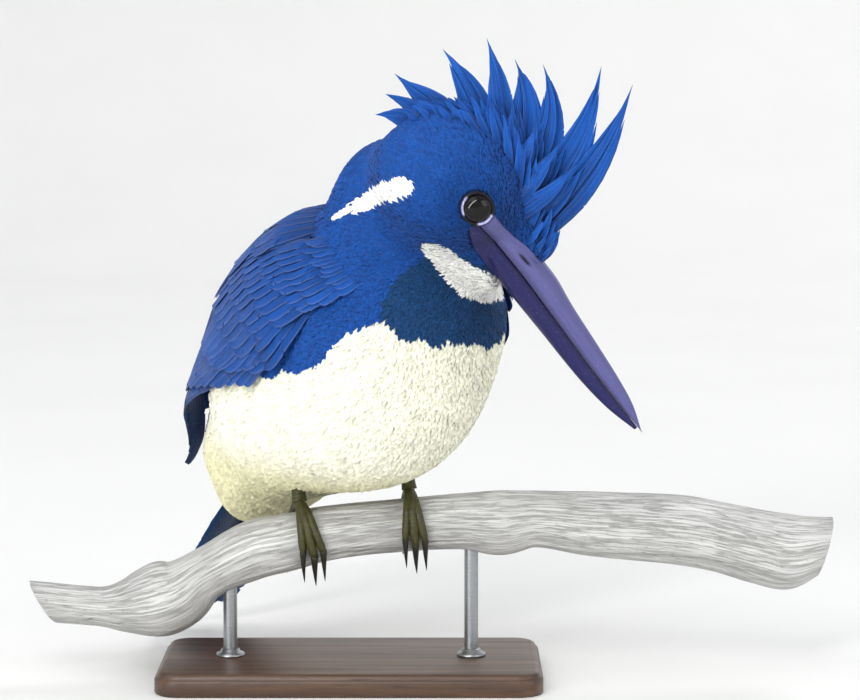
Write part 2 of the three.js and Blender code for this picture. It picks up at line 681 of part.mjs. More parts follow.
// ---------------------------------------------------------------- stand
function standBase() {
  const { halfLength, halfDepth, thickness, bevel, corner } = BASE;
  const ring = (inset, z) =>
    [[1, 1, 0], [-1, 1, 90], [-1, -1, 180], [1, -1, 270]].flatMap(([sx, sy, from]) =>
      Array.from({ length: 6 }, (_, i) => {
        const [t, r] = [rad(from + i * 18), corner - inset];
        const [x, y] = [sx * (halfLength - corner), sy * (halfDepth - corner)];
        return v3(x + r * Math.cos(t), y + r * Math.sin(t), z);
      }),
    );
  return loft([ring(0, 0), ring(0, thickness - bevel), ring(bevel, thickness)]);
}
function standRod(x) {
  const ends = [v3(x, 0, BASE.thickness + GAP), v3(x, 0, perchAxis(x))];
  return tube(ends, [ROD.radius, ROD.radius], 16).subtract(perchGrown);
}

// ---------------------------------------------------------------- the model
const group = new THREE.Group();
const add = (...args) => group.add(mesh(...args));
const COLOURS = {
  blue: 0x2056a5, navy: 0x0c3a68, cream: 0xf4f3df, horn: 0x666699, darkHorn: 0x333366, eye: 0x101014,
  skin: 0x333300, claw: 0x1c1c14, branch: 0xcccccc, base: 0x3e2c20, steel: 0x969696,
};
add("torso", torso.subtract(feetGrown), COLOURS.cream, 0.8);
add("neck", neck, COLOURS.blue, 0.75);
add("head", head, COLOURS.blue, 0.7);
add("bill_upper", upperBill, COLOURS.horn, 0.35);
add("bill_lower", lowerBill, COLOURS.darkHorn, 0.35);
add("tail", tail(), COLOURS.navy, 0.7);
for (const [name, side] of [["left", 1], ["right", -1]]) {
  add(`eye_${name}`, eyeBall(side), COLOURS.eye, 0.1);
  add(`wing_${name}`, wing(side), COLOURS.blue, 0.7);
  const place = FEET[name];
  add(`leg_${name}`, shank(place).subtract(toes(place, GAP)), COLOURS.skin, 0.6);
  add(`foot_${name}`, toes(place).subtract(perchGrown), COLOURS.skin, 0.6);
  for (const [which, size] of Object.entries(TOES))
    add(`claw_${name}_${which}`, claw(place, size), COLOURS.claw, 0.4);
  add(`stand_rod_${name}`, standRod(ROD.x[name]), COLOURS.steel, 0.3, 1);
}
add("perch", perch, COLOURS.branch, 0.85);
add("stand_base", standBase(), COLOURS.base, 0.5);

export default group;
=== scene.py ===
import math

import bmesh
import bpy
import numpy as np
from mathutils import Matrix, Quaternion, Vector, kdtree


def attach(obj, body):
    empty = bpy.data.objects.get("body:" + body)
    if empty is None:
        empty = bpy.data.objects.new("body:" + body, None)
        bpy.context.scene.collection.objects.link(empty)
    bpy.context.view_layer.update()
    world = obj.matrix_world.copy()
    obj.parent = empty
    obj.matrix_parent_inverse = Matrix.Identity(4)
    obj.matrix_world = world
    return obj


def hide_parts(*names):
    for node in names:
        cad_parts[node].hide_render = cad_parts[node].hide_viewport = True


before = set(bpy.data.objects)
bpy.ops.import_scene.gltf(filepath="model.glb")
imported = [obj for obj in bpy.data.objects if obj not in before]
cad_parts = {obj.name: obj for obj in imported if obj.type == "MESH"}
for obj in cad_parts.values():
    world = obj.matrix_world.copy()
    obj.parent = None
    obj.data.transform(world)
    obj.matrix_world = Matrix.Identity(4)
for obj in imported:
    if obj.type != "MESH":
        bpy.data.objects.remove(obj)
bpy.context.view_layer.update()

# The looks of a life-size kingfisher on a cut branch and a plain stand. Lengths are in mm, as in the CAD
# source whose forms they repeat, and become metres where a mesh is made.
MM = 0.001
rng = np.random.default_rng(11)


# ---------------------------------------------------------------- colours
def linear(red, green, blue):
    """An sRGB colour of 0 to 255 as linear light."""
    c = np.array([red, green, blue]) / 255
    return np.where(c <= 0.04045, c / 12.92, ((c + 0.055) / 1.055) ** 2.4)


BLUE = linear(14, 70, 147)
DEEP_BLUE = linear(12, 60, 126)
NAVY = linear(12, 58, 104)
CREAM = linear(244, 243, 223)
# cream darkened to straw: painted shade for the lower belly
CREAM_IN_PAINTED_SHADE = linear(232, 228, 188)
WHITE = linear(250, 250, 246)
LAVENDER = linear(204, 204, 255)
HORN_UPPER = linear(84, 84, 135)
HORN_LOWER = linear(30, 30, 82)
OLIVE = linear(58, 56, 12)
DARK_CLAW = linear(30, 28, 20)
EYE_BLACK = linear(8, 7, 9)
BARK = linear(194, 194, 193)


# ---------------------------------------------------------------- frames of the bird's parts
def part_frame(centre, yaw, pitch):
    """A part's origin and its axes: forward, left and up."""
    y, p = math.radians(yaw), math.radians(pitch)
    forward = np.array([math.cos(p) * math.cos(y), -math.cos(p) * math.sin(y), math.sin(p)])
    left = np.array([math.sin(y), math.cos(y), 0.0])
    return np.array(centre, float), np.array([forward, left, np.cross(forward, left)])


def into(part, points):
    return (points - part[0]) @ part[1].T


def out_of(part, places):
    return part[0] + np.asarray(places, float) @ part[1]


BODY_YAW = 55
BODY = part_frame((-2, 2, 102), BODY_YAW, 40)
HEAD = part_frame((35, -52, 154), 6, -51)
WORLD = (np.zeros(3), np.eye(3))
NECK_LINE = HEAD[0] - out_of(BODY, (38, 0, 0))
NECK_LINE /= np.linalg.norm(NECK_LINE)
NECK_SIDE = np.cross((0, 0, 1), NECK_LINE)
NECK_SIDE /= np.linalg.norm(NECK_SIDE)
NECK = (HEAD[0] - 30 * NECK_LINE, np.array([NECK_LINE, NECK_SIDE, np.cross(NECK_LINE, NECK_SIDE)]))

# ---------------------------------------------------------------- the bird's form
# Ellipsoids of flesh and down: centre and half sizes forward, left and up in their part's frame
TORSO_FORMS = [
    ((22, 0, -3), (39, 40, 37)),
    ((-10, 0, -4), (44, 38, 30)),
    ((6, 0, -21), (32, 33, 25)),
    ((-2, 0, 11), (46, 34, 28)),
    ((-46, 0, 5), (31, 23.5, 16)),
    ((-52, 0, -7), (28, 19.5, 13)),
]
HEAD_FORMS = [
    ((-5, 0, 1), (23, 19, 20)),
    ((4.5, 9.5, 3.5), (8.5, 8.5, 7.5)),
    ((4.5, -9.5, 3.5), (8.5, 8.5, 7.5)),
    ((-8, 0, -7), (19, 20, 14)),
    ((12, 0, 5), (18, 9, 8.5)),
    ((11, 0, -9), (16, 8, 5.5)),
]
NECK_FORM = ((0, 0, 0), (22, 23, 24))
NAPE_FORM = ((16, -30, 150), (20, 22, 21))
FAIRINGS = [((-84, 0, 5), (54, 17, 9)), ((-35, 0, 6), (30, 33, 19))]
BODY_BLEND = 10
HEAD_BLEND = 6


def ellipsoid(part, form):
    """About the distance from an ellipsoid, negative inside."""
    centre, half = np.array(form[0], float), np.array(form[1], float)

    def field(points):
        q = into(part, points) - centre
        k0 = np.linalg.norm(q / half, axis=-1)
        k1 = np.linalg.norm(q / half**2, axis=-1)
        return k0 * (k0 - 1) / np.maximum(k1, 1e-9)

    return field


def blend(fields, softness):
    def field(points):
        a = np.full(points.shape[:-1], 1e3)
        for each in fields:
            b = each(points)
            h = np.maximum(softness - np.abs(a - b), 0) / softness
            a = np.minimum(a, b) - h * h * softness / 4
        return a

    return field


torso_forms = [ellipsoid(BODY, form) for form in TORSO_FORMS]
head_field = blend([ellipsoid(HEAD, form) for form in HEAD_FORMS], HEAD_BLEND)
neck_forms = [ellipsoid(NECK, NECK_FORM), ellipsoid(WORLD, NAPE_FORM)]
bird = blend([*torso_forms, *neck_forms, head_field], BODY_BLEND)
guide = blend([*torso_forms, *[ellipsoid(BODY, form) for form in FAIRINGS]], BODY_BLEND)


def unit(vectors):
    return vectors / np.maximum(np.linalg.norm(vectors, axis=-1, keepdims=True), 1e-9)


def slope(field, points, step=0.3):
    return unit(np.stack([field(points + d) - field(points - d) for d in np.eye(3) * step], -1))


def settle(field, points, height=0.0, rounds=4):
    """Points moved onto a field's surface, at a height over it, and the normals there."""
    for _ in range(rounds):
        normals = slope(field, points)
        points = points - normals * np.asarray(field(points) - height)[..., None]
    return points, normals


FURTHEST, RAY_STEP, HALVINGS = 75, 1.5, 14


def reach(field, start, way):
    """Where rays that start inside a field first leave it, as distances."""
    near = np.zeros(way.shape[:-1])
    open_ray = np.ones(way.shape[:-1], bool)
    for step in np.arange(0, FURTHEST, RAY_STEP):
        open_ray &= field(start + way * step) < 0
        near = np.where(open_ray, step, near)
    far = near + RAY_STEP
    for _ in range(HALVINGS):
        middle = (near + far) / 2
        inside = field(start + way * middle[..., None]) < 0
        near, far = np.where(inside, middle, near), np.where(inside, far, middle)
    return far


def profile(pairs, x):
    return np.interp(x, [a for a, _ in pairs], [b for _, b in pairs])


def smooth_profile(pairs, x):
    """A smooth curve through [x, value] pairs."""
    xs, ys = np.array(pairs, float).T
    before, after = np.maximum(np.arange(len(xs)) - 1, 0), np.minimum(np.arange(len(xs)) + 1, len(xs) - 1)
    slopes = (ys[after] - ys[before]) / (xs[after] - xs[before])
    i = np.clip(np.searchsorted(xs, x) - 1, 0, len(xs) - 2)
    h = xs[i + 1] - xs[i]
    t = np.clip((x - xs[i]) / h, 0, 1)
    a, b = 2 * t**3 - 3 * t**2 + 1, t**3 - 2 * t**2 + t
    return a * ys[i] + (1 - a) * ys[i + 1] + h * (b * slopes[i] + (t**3 - t**2) * slopes[i + 1])


def step_up(edge0, edge1, x):
    t = np.clip((x - edge0) / (edge1 - edge0), 0, 1)
    return t * t * (3 - 2 * t)


# ---------------------------------------------------------------- the lie of the feathers
HEAD_TO_NECK, NECK_TO_BODY = (4, 26), (24, 48)  # where one lie turns into the next, behind the head's centre


def behind_head(points):
    """How far back points lie from the head's centre along the neck."""
    return (HEAD[0] - points) @ NECK_LINE


def lie(points):
    """The way that the plumage lies: back from the bill, down the neck and along the body."""
    behind = behind_head(points)
    q = into(HEAD, points)
    away = unit(q * (0.2, 1, 1)) @ HEAD[1]
    over_head = unit(-HEAD[1][0] + 0.25 * away)
    to_neck = step_up(*HEAD_TO_NECK, behind)[..., None]
    to_body = step_up(*NECK_TO_BODY, behind)[..., None]
    head_and_neck = over_head * (1 - to_neck) - NECK_LINE * to_neck
    return unit(head_and_neck * (1 - to_body) - BODY[1][0] * to_body)


def along_surface(ways, normals):
    return unit(ways - normals * np.sum(ways * normals, -1, keepdims=True))


def round_body(q):
    """Degrees round the body from the back, for places in the body's frame."""
    return np.degrees(np.arctan2(np.abs(q[:, 1]), q[:, 2]))


# ---------------------------------------------------------------- markings, the same on skin and coat
# Outlines as pairs: in the body's frame mm forward and degrees round it, in the head's mm forward and up
CREAM_EDGE = [(-90, 52), (-58, 62), (-37, 69), (-11, 85), (12, 108), (32, 124), (40, 124), (44, 126),
              (52, 140)]
BAND_SIDE = [(46, 140), (50, 136), (52, 132), (58, 127), (64, 128), (72, 137), (80, 152)]
BAND_LOWER = 49.5
BAND_SAG, BAND_CENTRE = 10, 28  # how much lower it reaches on the left, in full from this far from the middle
BAND_LEFT = 26  # degrees that it is wider on the left
BELLY_START, BAND_START, THROAT_END = 20, 4, 42  # behind the head's centre
THROAT_START, THROAT_TAPER = 2.5, 36  # forward and left of the head's centre
SHADE = (74, 58)  # the heights between which painted shade turns the belly's cream to a darker straw
EDGE_WOBBLE = 2.0  # degrees
THROAT_TOP = [(1, -18), (3, -15.6), (5.3, -13), (9.4, -11.4), (14.6, -10.2), (19.6, -8.8), (24, -6), (34, -6)]
THROAT_BOTTOM = [(0, -14), (3, -16.4), (5, -18), (12, -18.4), (22, -18.6), (26, -16.6), (29, -14.6),
                 (34, -12)]
STREAK = [(-13, -20, -9.4), (-15.2, -16, -15.2), (-18, -2, -24.4), (-19.6, 7.5, -34.5)]
STREAK_HALF = [2.5, 3.1, 2.4, 0.5]
STREAK_SHARES = [0, 0.2, 0.6, 1]


def ripple(points, scale, seed=0.0):
    """Smooth repeatable noise from about -1 to 1."""
    x, y, z = (points / scale).T[:3] if points.ndim == 2 else np.moveaxis(points / scale, -1, 0)
    a = np.sin(x * 1.7 + 2.1 * np.sin(y * 1.3 + seed) + seed)
    b = np.sin(y * 1.9 + 1.7 * np.sin(z * 1.1 - seed) + 2 * seed)
    c = np.sin(z * 1.5 + 1.9 * np.sin(x * 1.2 + 1.3 * seed) - seed)
    return (a + b + c) / 2.4


def near_line(points, line, halves):
    """How far points lie inside a tapering stroke, as a share of its half width, 1 on its middle."""
    best = np.full(len(points), -9.0)
    for a, b, wa, wb in zip(line[:-1], line[1:], halves[:-1], halves[1:]):
        d = b - a
        t = np.clip((points - a) @ d / (d @ d), 0, 1)
        gap = np.linalg.norm(points - (a + t[:, None] * d), axis=1)
        best = np.maximum(best, 1 - gap / (wa + t * (wb - wa)))
    return best


def streak_lines():
    """The neck's white streak on each side. The left one runs straight from the head's mirror image of the
    right one's front to the body's mirror image of its end."""
    right = out_of(HEAD, STREAK)
    front = out_of(HEAD, STREAK[0] * np.array((1, -1, 1)))
    end = out_of(BODY, into(BODY, right[-1]) * (1, -1, 1))
    left = front + np.array(STREAK_SHARES)[:, None] * (end - front)
    return [settle(bird, line)[0] for line in (right, left)]


STREAK_LINES = streak_lines()


def markings(points):
    """The plumage's colour at points near the surface."""
    q = into(BODY, points)
    h = into(HEAD, points)
    behind = behind_head(points)
    wobble = ripple(points, 5, 1.0)
    turn = round_body(q) + EDGE_WOBBLE * wobble
    colour = np.tile(BLUE, (len(points), 1))

    def paint(mask, paint_colour):
        m = np.clip(mask, 0, 1)[:, None]
        colour[:] = colour * (1 - m) + paint_colour * m

    # painted shade: the cream darkens to straw lower down and further back on the belly
    shade = step_up(*SHADE, points[:, 2] + 0.1 * q[:, 0])[:, None]
    pale = CREAM * (1 - shade) + CREAM_IN_PAINTED_SHADE * shade
    paint((turn > profile(CREAM_EDGE, q[:, 0])) & (behind > BELLY_START), pale)
    sag = BAND_SAG * np.clip(q[:, 1] / BAND_CENTRE, 0, 1) ** 1.5
    front = q[:, 0] + 1.3 * ripple(points, 2.6, 4.0) + 0.8 * wobble > BAND_LOWER - sag
    side_edge = profile(BAND_SIDE, q[:, 0]) - BAND_LEFT * (q[:, 1] > 0)
    paint(front & (turn > side_edge) & (behind > BAND_START), NAVY)
    up = h[:, 2] + 0.4 * wobble
    taper = 0.6 * np.maximum(h[:, 1] - THROAT_TAPER, 0)
    throat = (up < profile(THROAT_TOP, h[:, 0]) - taper) & (up > profile(THROAT_BOTTOM, h[:, 0]) + taper)
    paint(throat & (h[:, 0] > THROAT_START) & (behind < THROAT_END), WHITE)
    for line in STREAK_LINES:
        paint(near_line(points, line, STREAK_HALF) + 0.12 * wobble > 0, WHITE)
    return colour


# ---------------------------------------------------------------- meshes
def make_piece(name, points, loops, totals, material, slot, replaced=(), rims=None):
    """A mesh object from points in mm and polygons, riding on the part's one body. An edge whose two points
    share a bit of rims is a sharp one, so that a vane's face isn't shaded round its edge."""
    mesh = bpy.data.meshes.new(name)
    mesh.vertices.add(len(points))
    mesh.vertices.foreach_set("co", np.ascontiguousarray(points * MM, np.float32).ravel())
    mesh.loops.add(len(loops))
    mesh.loops.foreach_set("vertex_index", np.ascontiguousarray(loops, np.int32))
    mesh.polygons.add(len(totals))
    mesh.polygons.foreach_set("loop_start", np.concatenate([[0], np.cumsum(totals)[:-1]]).astype(np.int32))
    mesh.update(calc_edges=True)
    mesh.validate()
    mesh.shade_smooth()
    if rims is not None:
        a, b = read_array(mesh.edges, "vertices", 2, np.int32).T
        sharp = mesh.attributes.new("sharp_edge", "BOOLEAN", "EDGE")
        sharp.data.foreach_set("value", (rims[a] & rims[b]) > 0)
    piece = bpy.data.objects.new(name, mesh)
    bpy.context.scene.collection.objects.link(piece)
    mesh.materials.append(material)
    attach(piece, "root")
    if replaced:
        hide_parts(*replaced)
    return piece


def read_array(items, key, width, kind):
    """One attribute of a mesh's vertices, edges, faces or corners, with width numbers for each."""
    found = np.empty(len(items) * width, kind)
    items.foreach_get(key, found)
    return found.reshape(-1, width)


def paint_points(piece, colours, vary=0.0):
    mesh = piece.data
    layer = mesh.color_attributes.new("Plumage", "FLOAT_COLOR", "POINT")
    opaque = np.column_stack([colours, np.ones(len(colours))])
    layer.data.foreach_set("color", opaque.astype(np.float32).ravel())
    numbers = np.full(len(colours), vary, np.float32)
    mesh.attributes.new("Vary", "FLOAT", "POINT").data.foreach_set("value", numbers)


def add_uv(piece, name, at_points):
    mesh = piece.data
    index = read_array(mesh.loops, "vertex_index", 1, np.int32).ravel()
    mesh.uv_layers.new(name=name).data.foreach_set("uv", at_points[index].astype(np.float32).ravel())


def grid_faces(rows, columns, closed_round=False, closed_along=False):
    """The quads of a grid of points, seen from the side that the rows' and columns' cross product leaves."""
    quads = []
    for k in range(rows if closed_along else rows - 1):
        here, beyond = k * columns, (k + 1) % rows * columns
        for j in range(columns if closed_round else columns - 1):
            beside = (j + 1) % columns
            quads.append([here + j, beyond + j, beyond + beside, here + beside])
    return quads


def closed_faces(rows, columns):
    """The quads of rings of points and the two flat ends that close them."""
    last = (rows - 1) * columns
    ends = [list(range(columns)), list(range(last + columns - 1, last - 1, -1))]
    return grid_faces(rows, columns, closed_round=True) + ends


def grid_map(across, along):
    """A map of a grid's points from the values along a row and the values along a column."""
    u, v = np.meshgrid(across, along)
    return np.column_stack([u.ravel(), v.ravel()])


def rim_bits(rows, columns, edge):
    """What make_piece takes as rims: a bit for each of a vane's two edges, and one for its tip."""
    rims = np.zeros((rows, columns), int)
    rims[:, 0] |= 1
    rims[:, edge] |= 2
    rims[-1] |= 4
    return rims.ravel()


def tile(faces, size, count=1):
    """Copies of one template's faces, as loops and the number of corners of each."""
    flat = np.array([i for face in faces for i in face])
    totals = np.array([len(face) for face in faces])
    return (flat[None] + np.arange(count)[:, None] * size).ravel(), np.tile(totals, count)


# The unwrap of the skin's own shape: how far along the line from tail to bill, and the turn round it
BODY_SPINE = [out_of(BODY, (x, 0, 0)) for x in (-90, -40, 0, 30)]
SPINE = np.array([*BODY_SPINE, NECK[0], HEAD[0], out_of(HEAD, (26, 0, 0))])
BAKE_MARGIN = 0.04
BAKE_ROOM = 1 - 2 * BAKE_MARGIN
BAKE_PATCH = 0.003  # a small feather's breadth in the unwrap
CELL_MARGIN = 0.08  # round each large feather in its cell
CELL_SHAPE = 2.2  # a cell's height over its breadth


def unwrap(points):
    lengths = np.linalg.norm(np.diff(SPINE, axis=0), axis=1)
    starts = np.concatenate([[0], np.cumsum(lengths)])
    best = np.full(len(points), 1e9)
    along, turn = np.zeros((2, len(points)))
    for a, b, start, length in zip(SPINE[:-1], SPINE[1:], starts, lengths):
        d = (b - a) / length
        t = np.clip((points - a) @ d, 0, length)
        off = points - (a + t[:, None] * d)
        side = unit(np.cross((0, 0, 1), d))
        gap = np.linalg.norm(off, axis=1)
        nearer = gap < best
        angle = np.arctan2(off @ side, off @ np.cross(d, side)) / (2 * math.pi) + 0.5
        best = np.where(nearer, gap, best)
        along = np.where(nearer, start + t, along)
        turn = np.where(nearer, angle, turn)
    return BAKE_MARGIN + BAKE_ROOM * np.column_stack([turn, along / starts[-1]])


def atlas(own, shapes):
    """Each large feather's own upright cell of the bake's square."""
    sizes = np.concatenate([np.full(count, rows * columns) for count, rows, columns, _ in shapes])
    index = np.repeat(np.arange(len(sizes)), sizes)
    columns = math.ceil(math.sqrt(len(sizes) * CELL_SHAPE))
    cell = np.column_stack([index % columns, index // columns])
    return (cell + CELL_MARGIN + (1 - 2 * CELL_MARGIN) * own) / (columns, math.ceil(len(sizes) / columns))


# ---------------------------------------------------------------- materials
class Value:
    """An output socket that adds Math nodes as it is reckoned with."""

    def __init__(self, graph, socket):
        self.graph, self.socket = graph, socket

    def math(self, operation, other=0.0):
        return self.graph.node("Math", {0: self, 1: other}, operation=operation)

    def __add__(self, other):
        return self.math("ADD", other)

    def __sub__(self, other):
        return self.math("SUBTRACT", other)

    def __mul__(self, other):
        return self.math("MULTIPLY", other)

    def spread(self, low, high, to_low=0.0, to_high=1.0):
        return self.graph.node("MapRange", {0: self, 1: low, 2: high, 3: to_low, 4: to_high})


class Graph:
    """A material's nodes. Points carry their colour as Plumage and a random number as Vary, and Vane is each
    feather's or loft's own map, round and along it."""

    def __init__(self, name):
        self.material = bpy.data.materials.new(name)
        self.material.use_nodes = True
        self.tree = self.material.node_tree

    def put(self, socket, value):
        if isinstance(value, Value):
            self.tree.links.new(value.socket, socket)
        else:
            socket.default_value = (*value, 1.0) if isinstance(value, np.ndarray) else value

    def node(self, kind, inputs=None, output=0, **settings):
        made = self.tree.nodes.new("ShaderNode" + kind)
        for key, value in settings.items():
            setattr(made, key, value)
        for key, value in (inputs or {}).items():
            self.put(made.inputs[key], value)
        return Value(self, made.outputs[output])

    def carried(self, name="Plumage", output="Color"):
        return self.node("Attribute", output=output, attribute_name=name)

    def place(self):
        return self.node("TexCoord", output="Object")

    def own_map(self):
        return self.node("UVMap", uv_map="Vane")

    def round_and_along(self):
        split = self.node("SeparateXYZ", {0: self.own_map()})
        return split, Value(self, split.socket.node.outputs[1])

    def mix(self, factor, a, b):
        return self.node("Mix", {0: factor, 6: a, 7: b}, 2, data_type="RGBA")

    def noise(self, scale, detail, vector=None, roughness=0.55):
        inputs = {"Scale": scale, "Detail": detail, "Roughness": roughness, "Vector": vector or self.place()}
        return self.node("TexNoise", inputs)

    def stretched(self, vector, scale, detail, roughness=0.55):
        return self.noise(1.0, detail, self.node("Mapping", {0: vector, 3: scale}), roughness)

    def cells(self, scale):
        return self.node("TexVoronoi", {"Scale": scale, "Vector": self.place()}, "Distance")

    def shaded(self, value):
        return self.node("HueSaturation", {"Color": self.carried(), "Value": value, "Saturation": 1.0})

    def finish(self, colour, roughness, bump=None, **sockets):
        """The material, its bump given as height, strength and distance in metres."""
        if bump:
            sockets["Normal"] = self.node("Bump", dict(zip(("Height", "Strength", "Distance"), bump)))
        for key, value in {"Base_Color": colour, "Roughness": roughness, **sockets}.items():
            self.put(self.tree.nodes["Principled BSDF"].inputs[key.replace("_", " ")], value)
        return self.material


def feather_material(name, barbs, sheen, gloss, shaft, edge):
    """Barbs that slant off a shaft, with soft edges, over the marking that the mesh carries, and painted
    shade that darkens each vane towards its root.
    """
    g = Graph(name)
    u, v = g.round_and_along()
    out = (u - 0.5).math("ABSOLUTE")
    grain = g.noise(900, 2)
    ridges = ((v * barbs - out * (barbs * 0.55) + grain * 1.1) * 6.2832).math("SINE")
    on_shaft = out.spread(0.035, 0.012)
    patches = (g.noise(160, 3) - 0.5) * 0.35
    lightness = ridges * 0.06 + g.carried("Vary", "Fac") * 0.16 + patches + 1.0
    # painted shade: the colour falls to 0.62 at the root, where the vane lies under its neighbours
    shaded = g.shaded(lightness * v.spread(0.0, 0.55, 0.62, 1.0))
    with_rim = g.mix(out.spread(0.36, 0.5, 0.0, edge), shaded, WHITE)
    with_shaft = g.mix(on_shaft * shaft, with_rim, linear(14, 16, 28))
    rough = (ridges + grain).spread(-1.0, 2.0, gloss + 0.12, gloss - 0.08)
    return g.finish(with_shaft, rough, (ridges * 0.5 + on_shaft * 1.5, 0.35, 0.00025),
                    Sheen_Weight=sheen, Sheen_Roughness=0.4, Specular_IOR_Level=0.16)


def skin_material():
    g = Graph("skin")
    down = g.noise(700, 5)
    colour = g.shaded(down.spread(0.3, 0.7, 0.45, 0.7))
    return g.finish(colour, down.spread(0, 1, 0.95, 0.75), (down, 0.6, 0.0006))


def horn_material(name, streak_colour):
    """Horn whose colour the mesh carries, with fine streaks along it and worn specks."""
    g = Graph(name)
    streaks = g.stretched(g.own_map(), (60.0, 2.5, 1.0), 5)
    fine = g.noise(1500, 3)
    streaked = g.mix(streaks.spread(0.42, 0.72, 0.0, 0.4), g.carried(), streak_colour)
    worn = g.mix(fine.spread(0.6, 0.8, 0.0, 0.07), streaked, WHITE)
    rough = (streaks + fine).spread(0.6, 1.4, 0.3, 0.48)
    return g.finish(worn, rough, (streaks * 0.8 + fine * 0.2, 0.25, 0.0003), Coat_Weight=0.05,
                    Coat_Roughness=0.25, Specular_IOR_Level=0.22)


def eye_material(centre, way):
    """A dark brown iris round a black pupil, told by how far out along the eye's own axis a point is."""
    g = Graph("eye_wet")
    off = g.node("VectorMath", {0: g.place(), 1: tuple(centre * MM)}, operation="SUBTRACT")
    depth = g.node("VectorMath", {0: off, 1: tuple(way)}, "Value", operation="DOT_PRODUCT")
    streaks = g.noise(2600, 2, off)
    iris = g.mix(streaks, linear(14, 9, 8), linear(7, 5, 5))
    ringed = g.mix(depth.spread(0.0030, 0.0034), EYE_BLACK, iris)
    dark = g.mix((depth + streaks * 0.0002).spread(0.0039, 0.0042), ringed, EYE_BLACK * 0.4)
    return g.finish(dark, g.noise(500, 2, off).spread(0, 1, 0.03, 0.07), Coat_Weight=1.0, Coat_IOR=1.36,
                    Coat_Roughness=0.015, Specular_IOR_Level=0.0)


def lid_material():
    """Pebbled bare skin round the eye, dark with a pale rim that the mesh carries."""
    g = Graph("lid_skin")
    cells = g.cells(2600.0)
    tone = g.mix(cells.spread(0.1, 0.7, 0.0, 0.5), g.carried(), linear(20, 20, 30))
    return g.finish(tone, cells.spread(0, 1, 0.4, 0.6), (cells, 0.4, 0.0002), Specular_IOR_Level=0.2)


def scale_material():
    """Scaly leg skin: scutes in rings on top, small grains below."""
    g = Graph("leg_scales")
    u, v = g.round_and_along()
    on_top = (u - 0.5).math("ABSOLUTE").spread(0.2, 0.3, 1.0, 0.0)
    seams = v.math("FRACT").spread(0.86, 1.0) * on_top
    grain = g.cells(1900.0)
    patches = g.noise(260, 4)
    tone = g.mix(patches.spread(0.3, 0.7), OLIVE * 0.75, OLIVE * 1.35)
    grained = g.mix(grain.spread(0.2, 0.7, 0.0, 0.4), tone, OLIVE * 0.4)
    seamed = g.mix(seams * 0.7, grained, OLIVE * 0.25)
    return g.finish(seamed, patches.spread(0.3, 0.7, 0.42, 0.62), (grain * -0.5 - seams, 0.5, 0.0003))


def bark_material():
    """Bare weathered wood: long cracks and grain along the branch, grey with brown in the hollows."""
    g = Graph("perch_wood")
    grain = g.stretched(g.own_map(), (70.0, 9.0, 1.0), 8, 0.65)
    wide = g.stretched(g.own_map(), (16.0, 5.0, 1.0), 4)
    cracks = (grain - 0.5).math("ABSOLUTE").spread(0.0, 0.035, 1.0, 0.0)
    tone = g.mix(wide.spread(0.35, 0.7), BARK * 0.92, BARK * 1.2)
    grained = g.mix(grain.spread(0.35, 0.75, 0.0, 0.4), tone, linear(176, 172, 164))
    cracked = g.mix(cracks * 0.3, grained, linear(120, 114, 106))
    specked = g.mix(g.noise(900, 3).spread(0.62, 0.75, 0.0, 0.4), cracked, linear(120, 116, 104))
    height = grain + wide * 0.6 - cracks * 0.7
    return g.finish(specked, grain.spread(0.3, 0.7, 0.92, 0.7), (height, 0.7, 0.0006))


def cut_wood_material():
    """A sawn end: growth rings round the pith, with drying cracks."""
    g = Graph("perch_end")
    _, v = g.round_and_along()
    rings = ((v + g.noise(260, 3) * 0.12) * 60.0).math("SINE")
    crack = g.stretched(g.own_map(), (26.0, 0.7, 1.0), 2).spread(0.66, 0.72)
    tone = g.mix(rings.spread(-1, 1), linear(196, 184, 162), linear(160, 146, 122))
    grey = g.mix(v.spread(0.6, 1.0, 0.0, 0.6), tone, BARK * 0.7)
    cracked = g.mix(crack, grey, linear(70, 62, 52))
    return g.finish(cracked, rings.spread(-1, 1, 0.75, 0.88), (rings * 0.3 - crack, 0.5, 0.0003))


def base_material():
    """Dark oiled wood, its grain along the base."""
    g = Graph("base_wood")
    grain = g.stretched(g.place(), (14.0, 260.0, 260.0), 7, 0.6)
    pores = g.stretched(g.place(), (90.0, 1600.0, 1600.0), 2)
    tone = g.mix(grain.spread(0.3, 0.7), linear(48, 32, 23), linear(92, 64, 44))
    pored = g.mix(pores.spread(0.6, 0.72, 0.0, 0.7), tone, linear(26, 17, 12))
    height = grain - pores.spread(0.6, 0.72)
    return g.finish(pored, grain.spread(0.3, 0.7, 0.5, 0.38), (height, 0.2, 0.0002), Coat_Weight=0.15,
                    Coat_Roughness=0.35)


def steel_material():
    g = Graph("rod_steel")
    turned = g.stretched(g.place(), (300.0, 300.0, 5200.0), 3)
    tone = g.mix(turned, linear(138, 140, 144), linear(172, 174, 178))
    return g.finish(tone, turned.spread(0.3, 0.7, 0.26, 0.42), (turned, 0.15, 0.0001), Metallic=1.0)


def floor_material():
    g = Graph("floor")
    return g.finish(g.mix(g.noise(6, 2), linear(228, 228, 226), linear(234, 234, 232)), 0.9)


BODY_FEATHER = feather_material("body_feather", 6, 0.06, gloss=0.64, shaft=0.1, edge=0.05)
FLIGHT_FEATHER = feather_material("flight_feather", 46, 0.05, gloss=0.5, shaft=0.75, edge=0.05)
CREST_FEATHER = feather_material("crest_feather", 22, 0.06, gloss=0.58, shaft=0.4, edge=0.04)
LEG_SCALES = scale_material()
STEEL = steel_material()


# ---------------------------------------------------------------- the skin
SKIN_VOXEL = 1.7
COAT_DEPTH = [(4, 0.7), (30, 1.1), (60, 1.5)]  # by the distance behind the head's centre


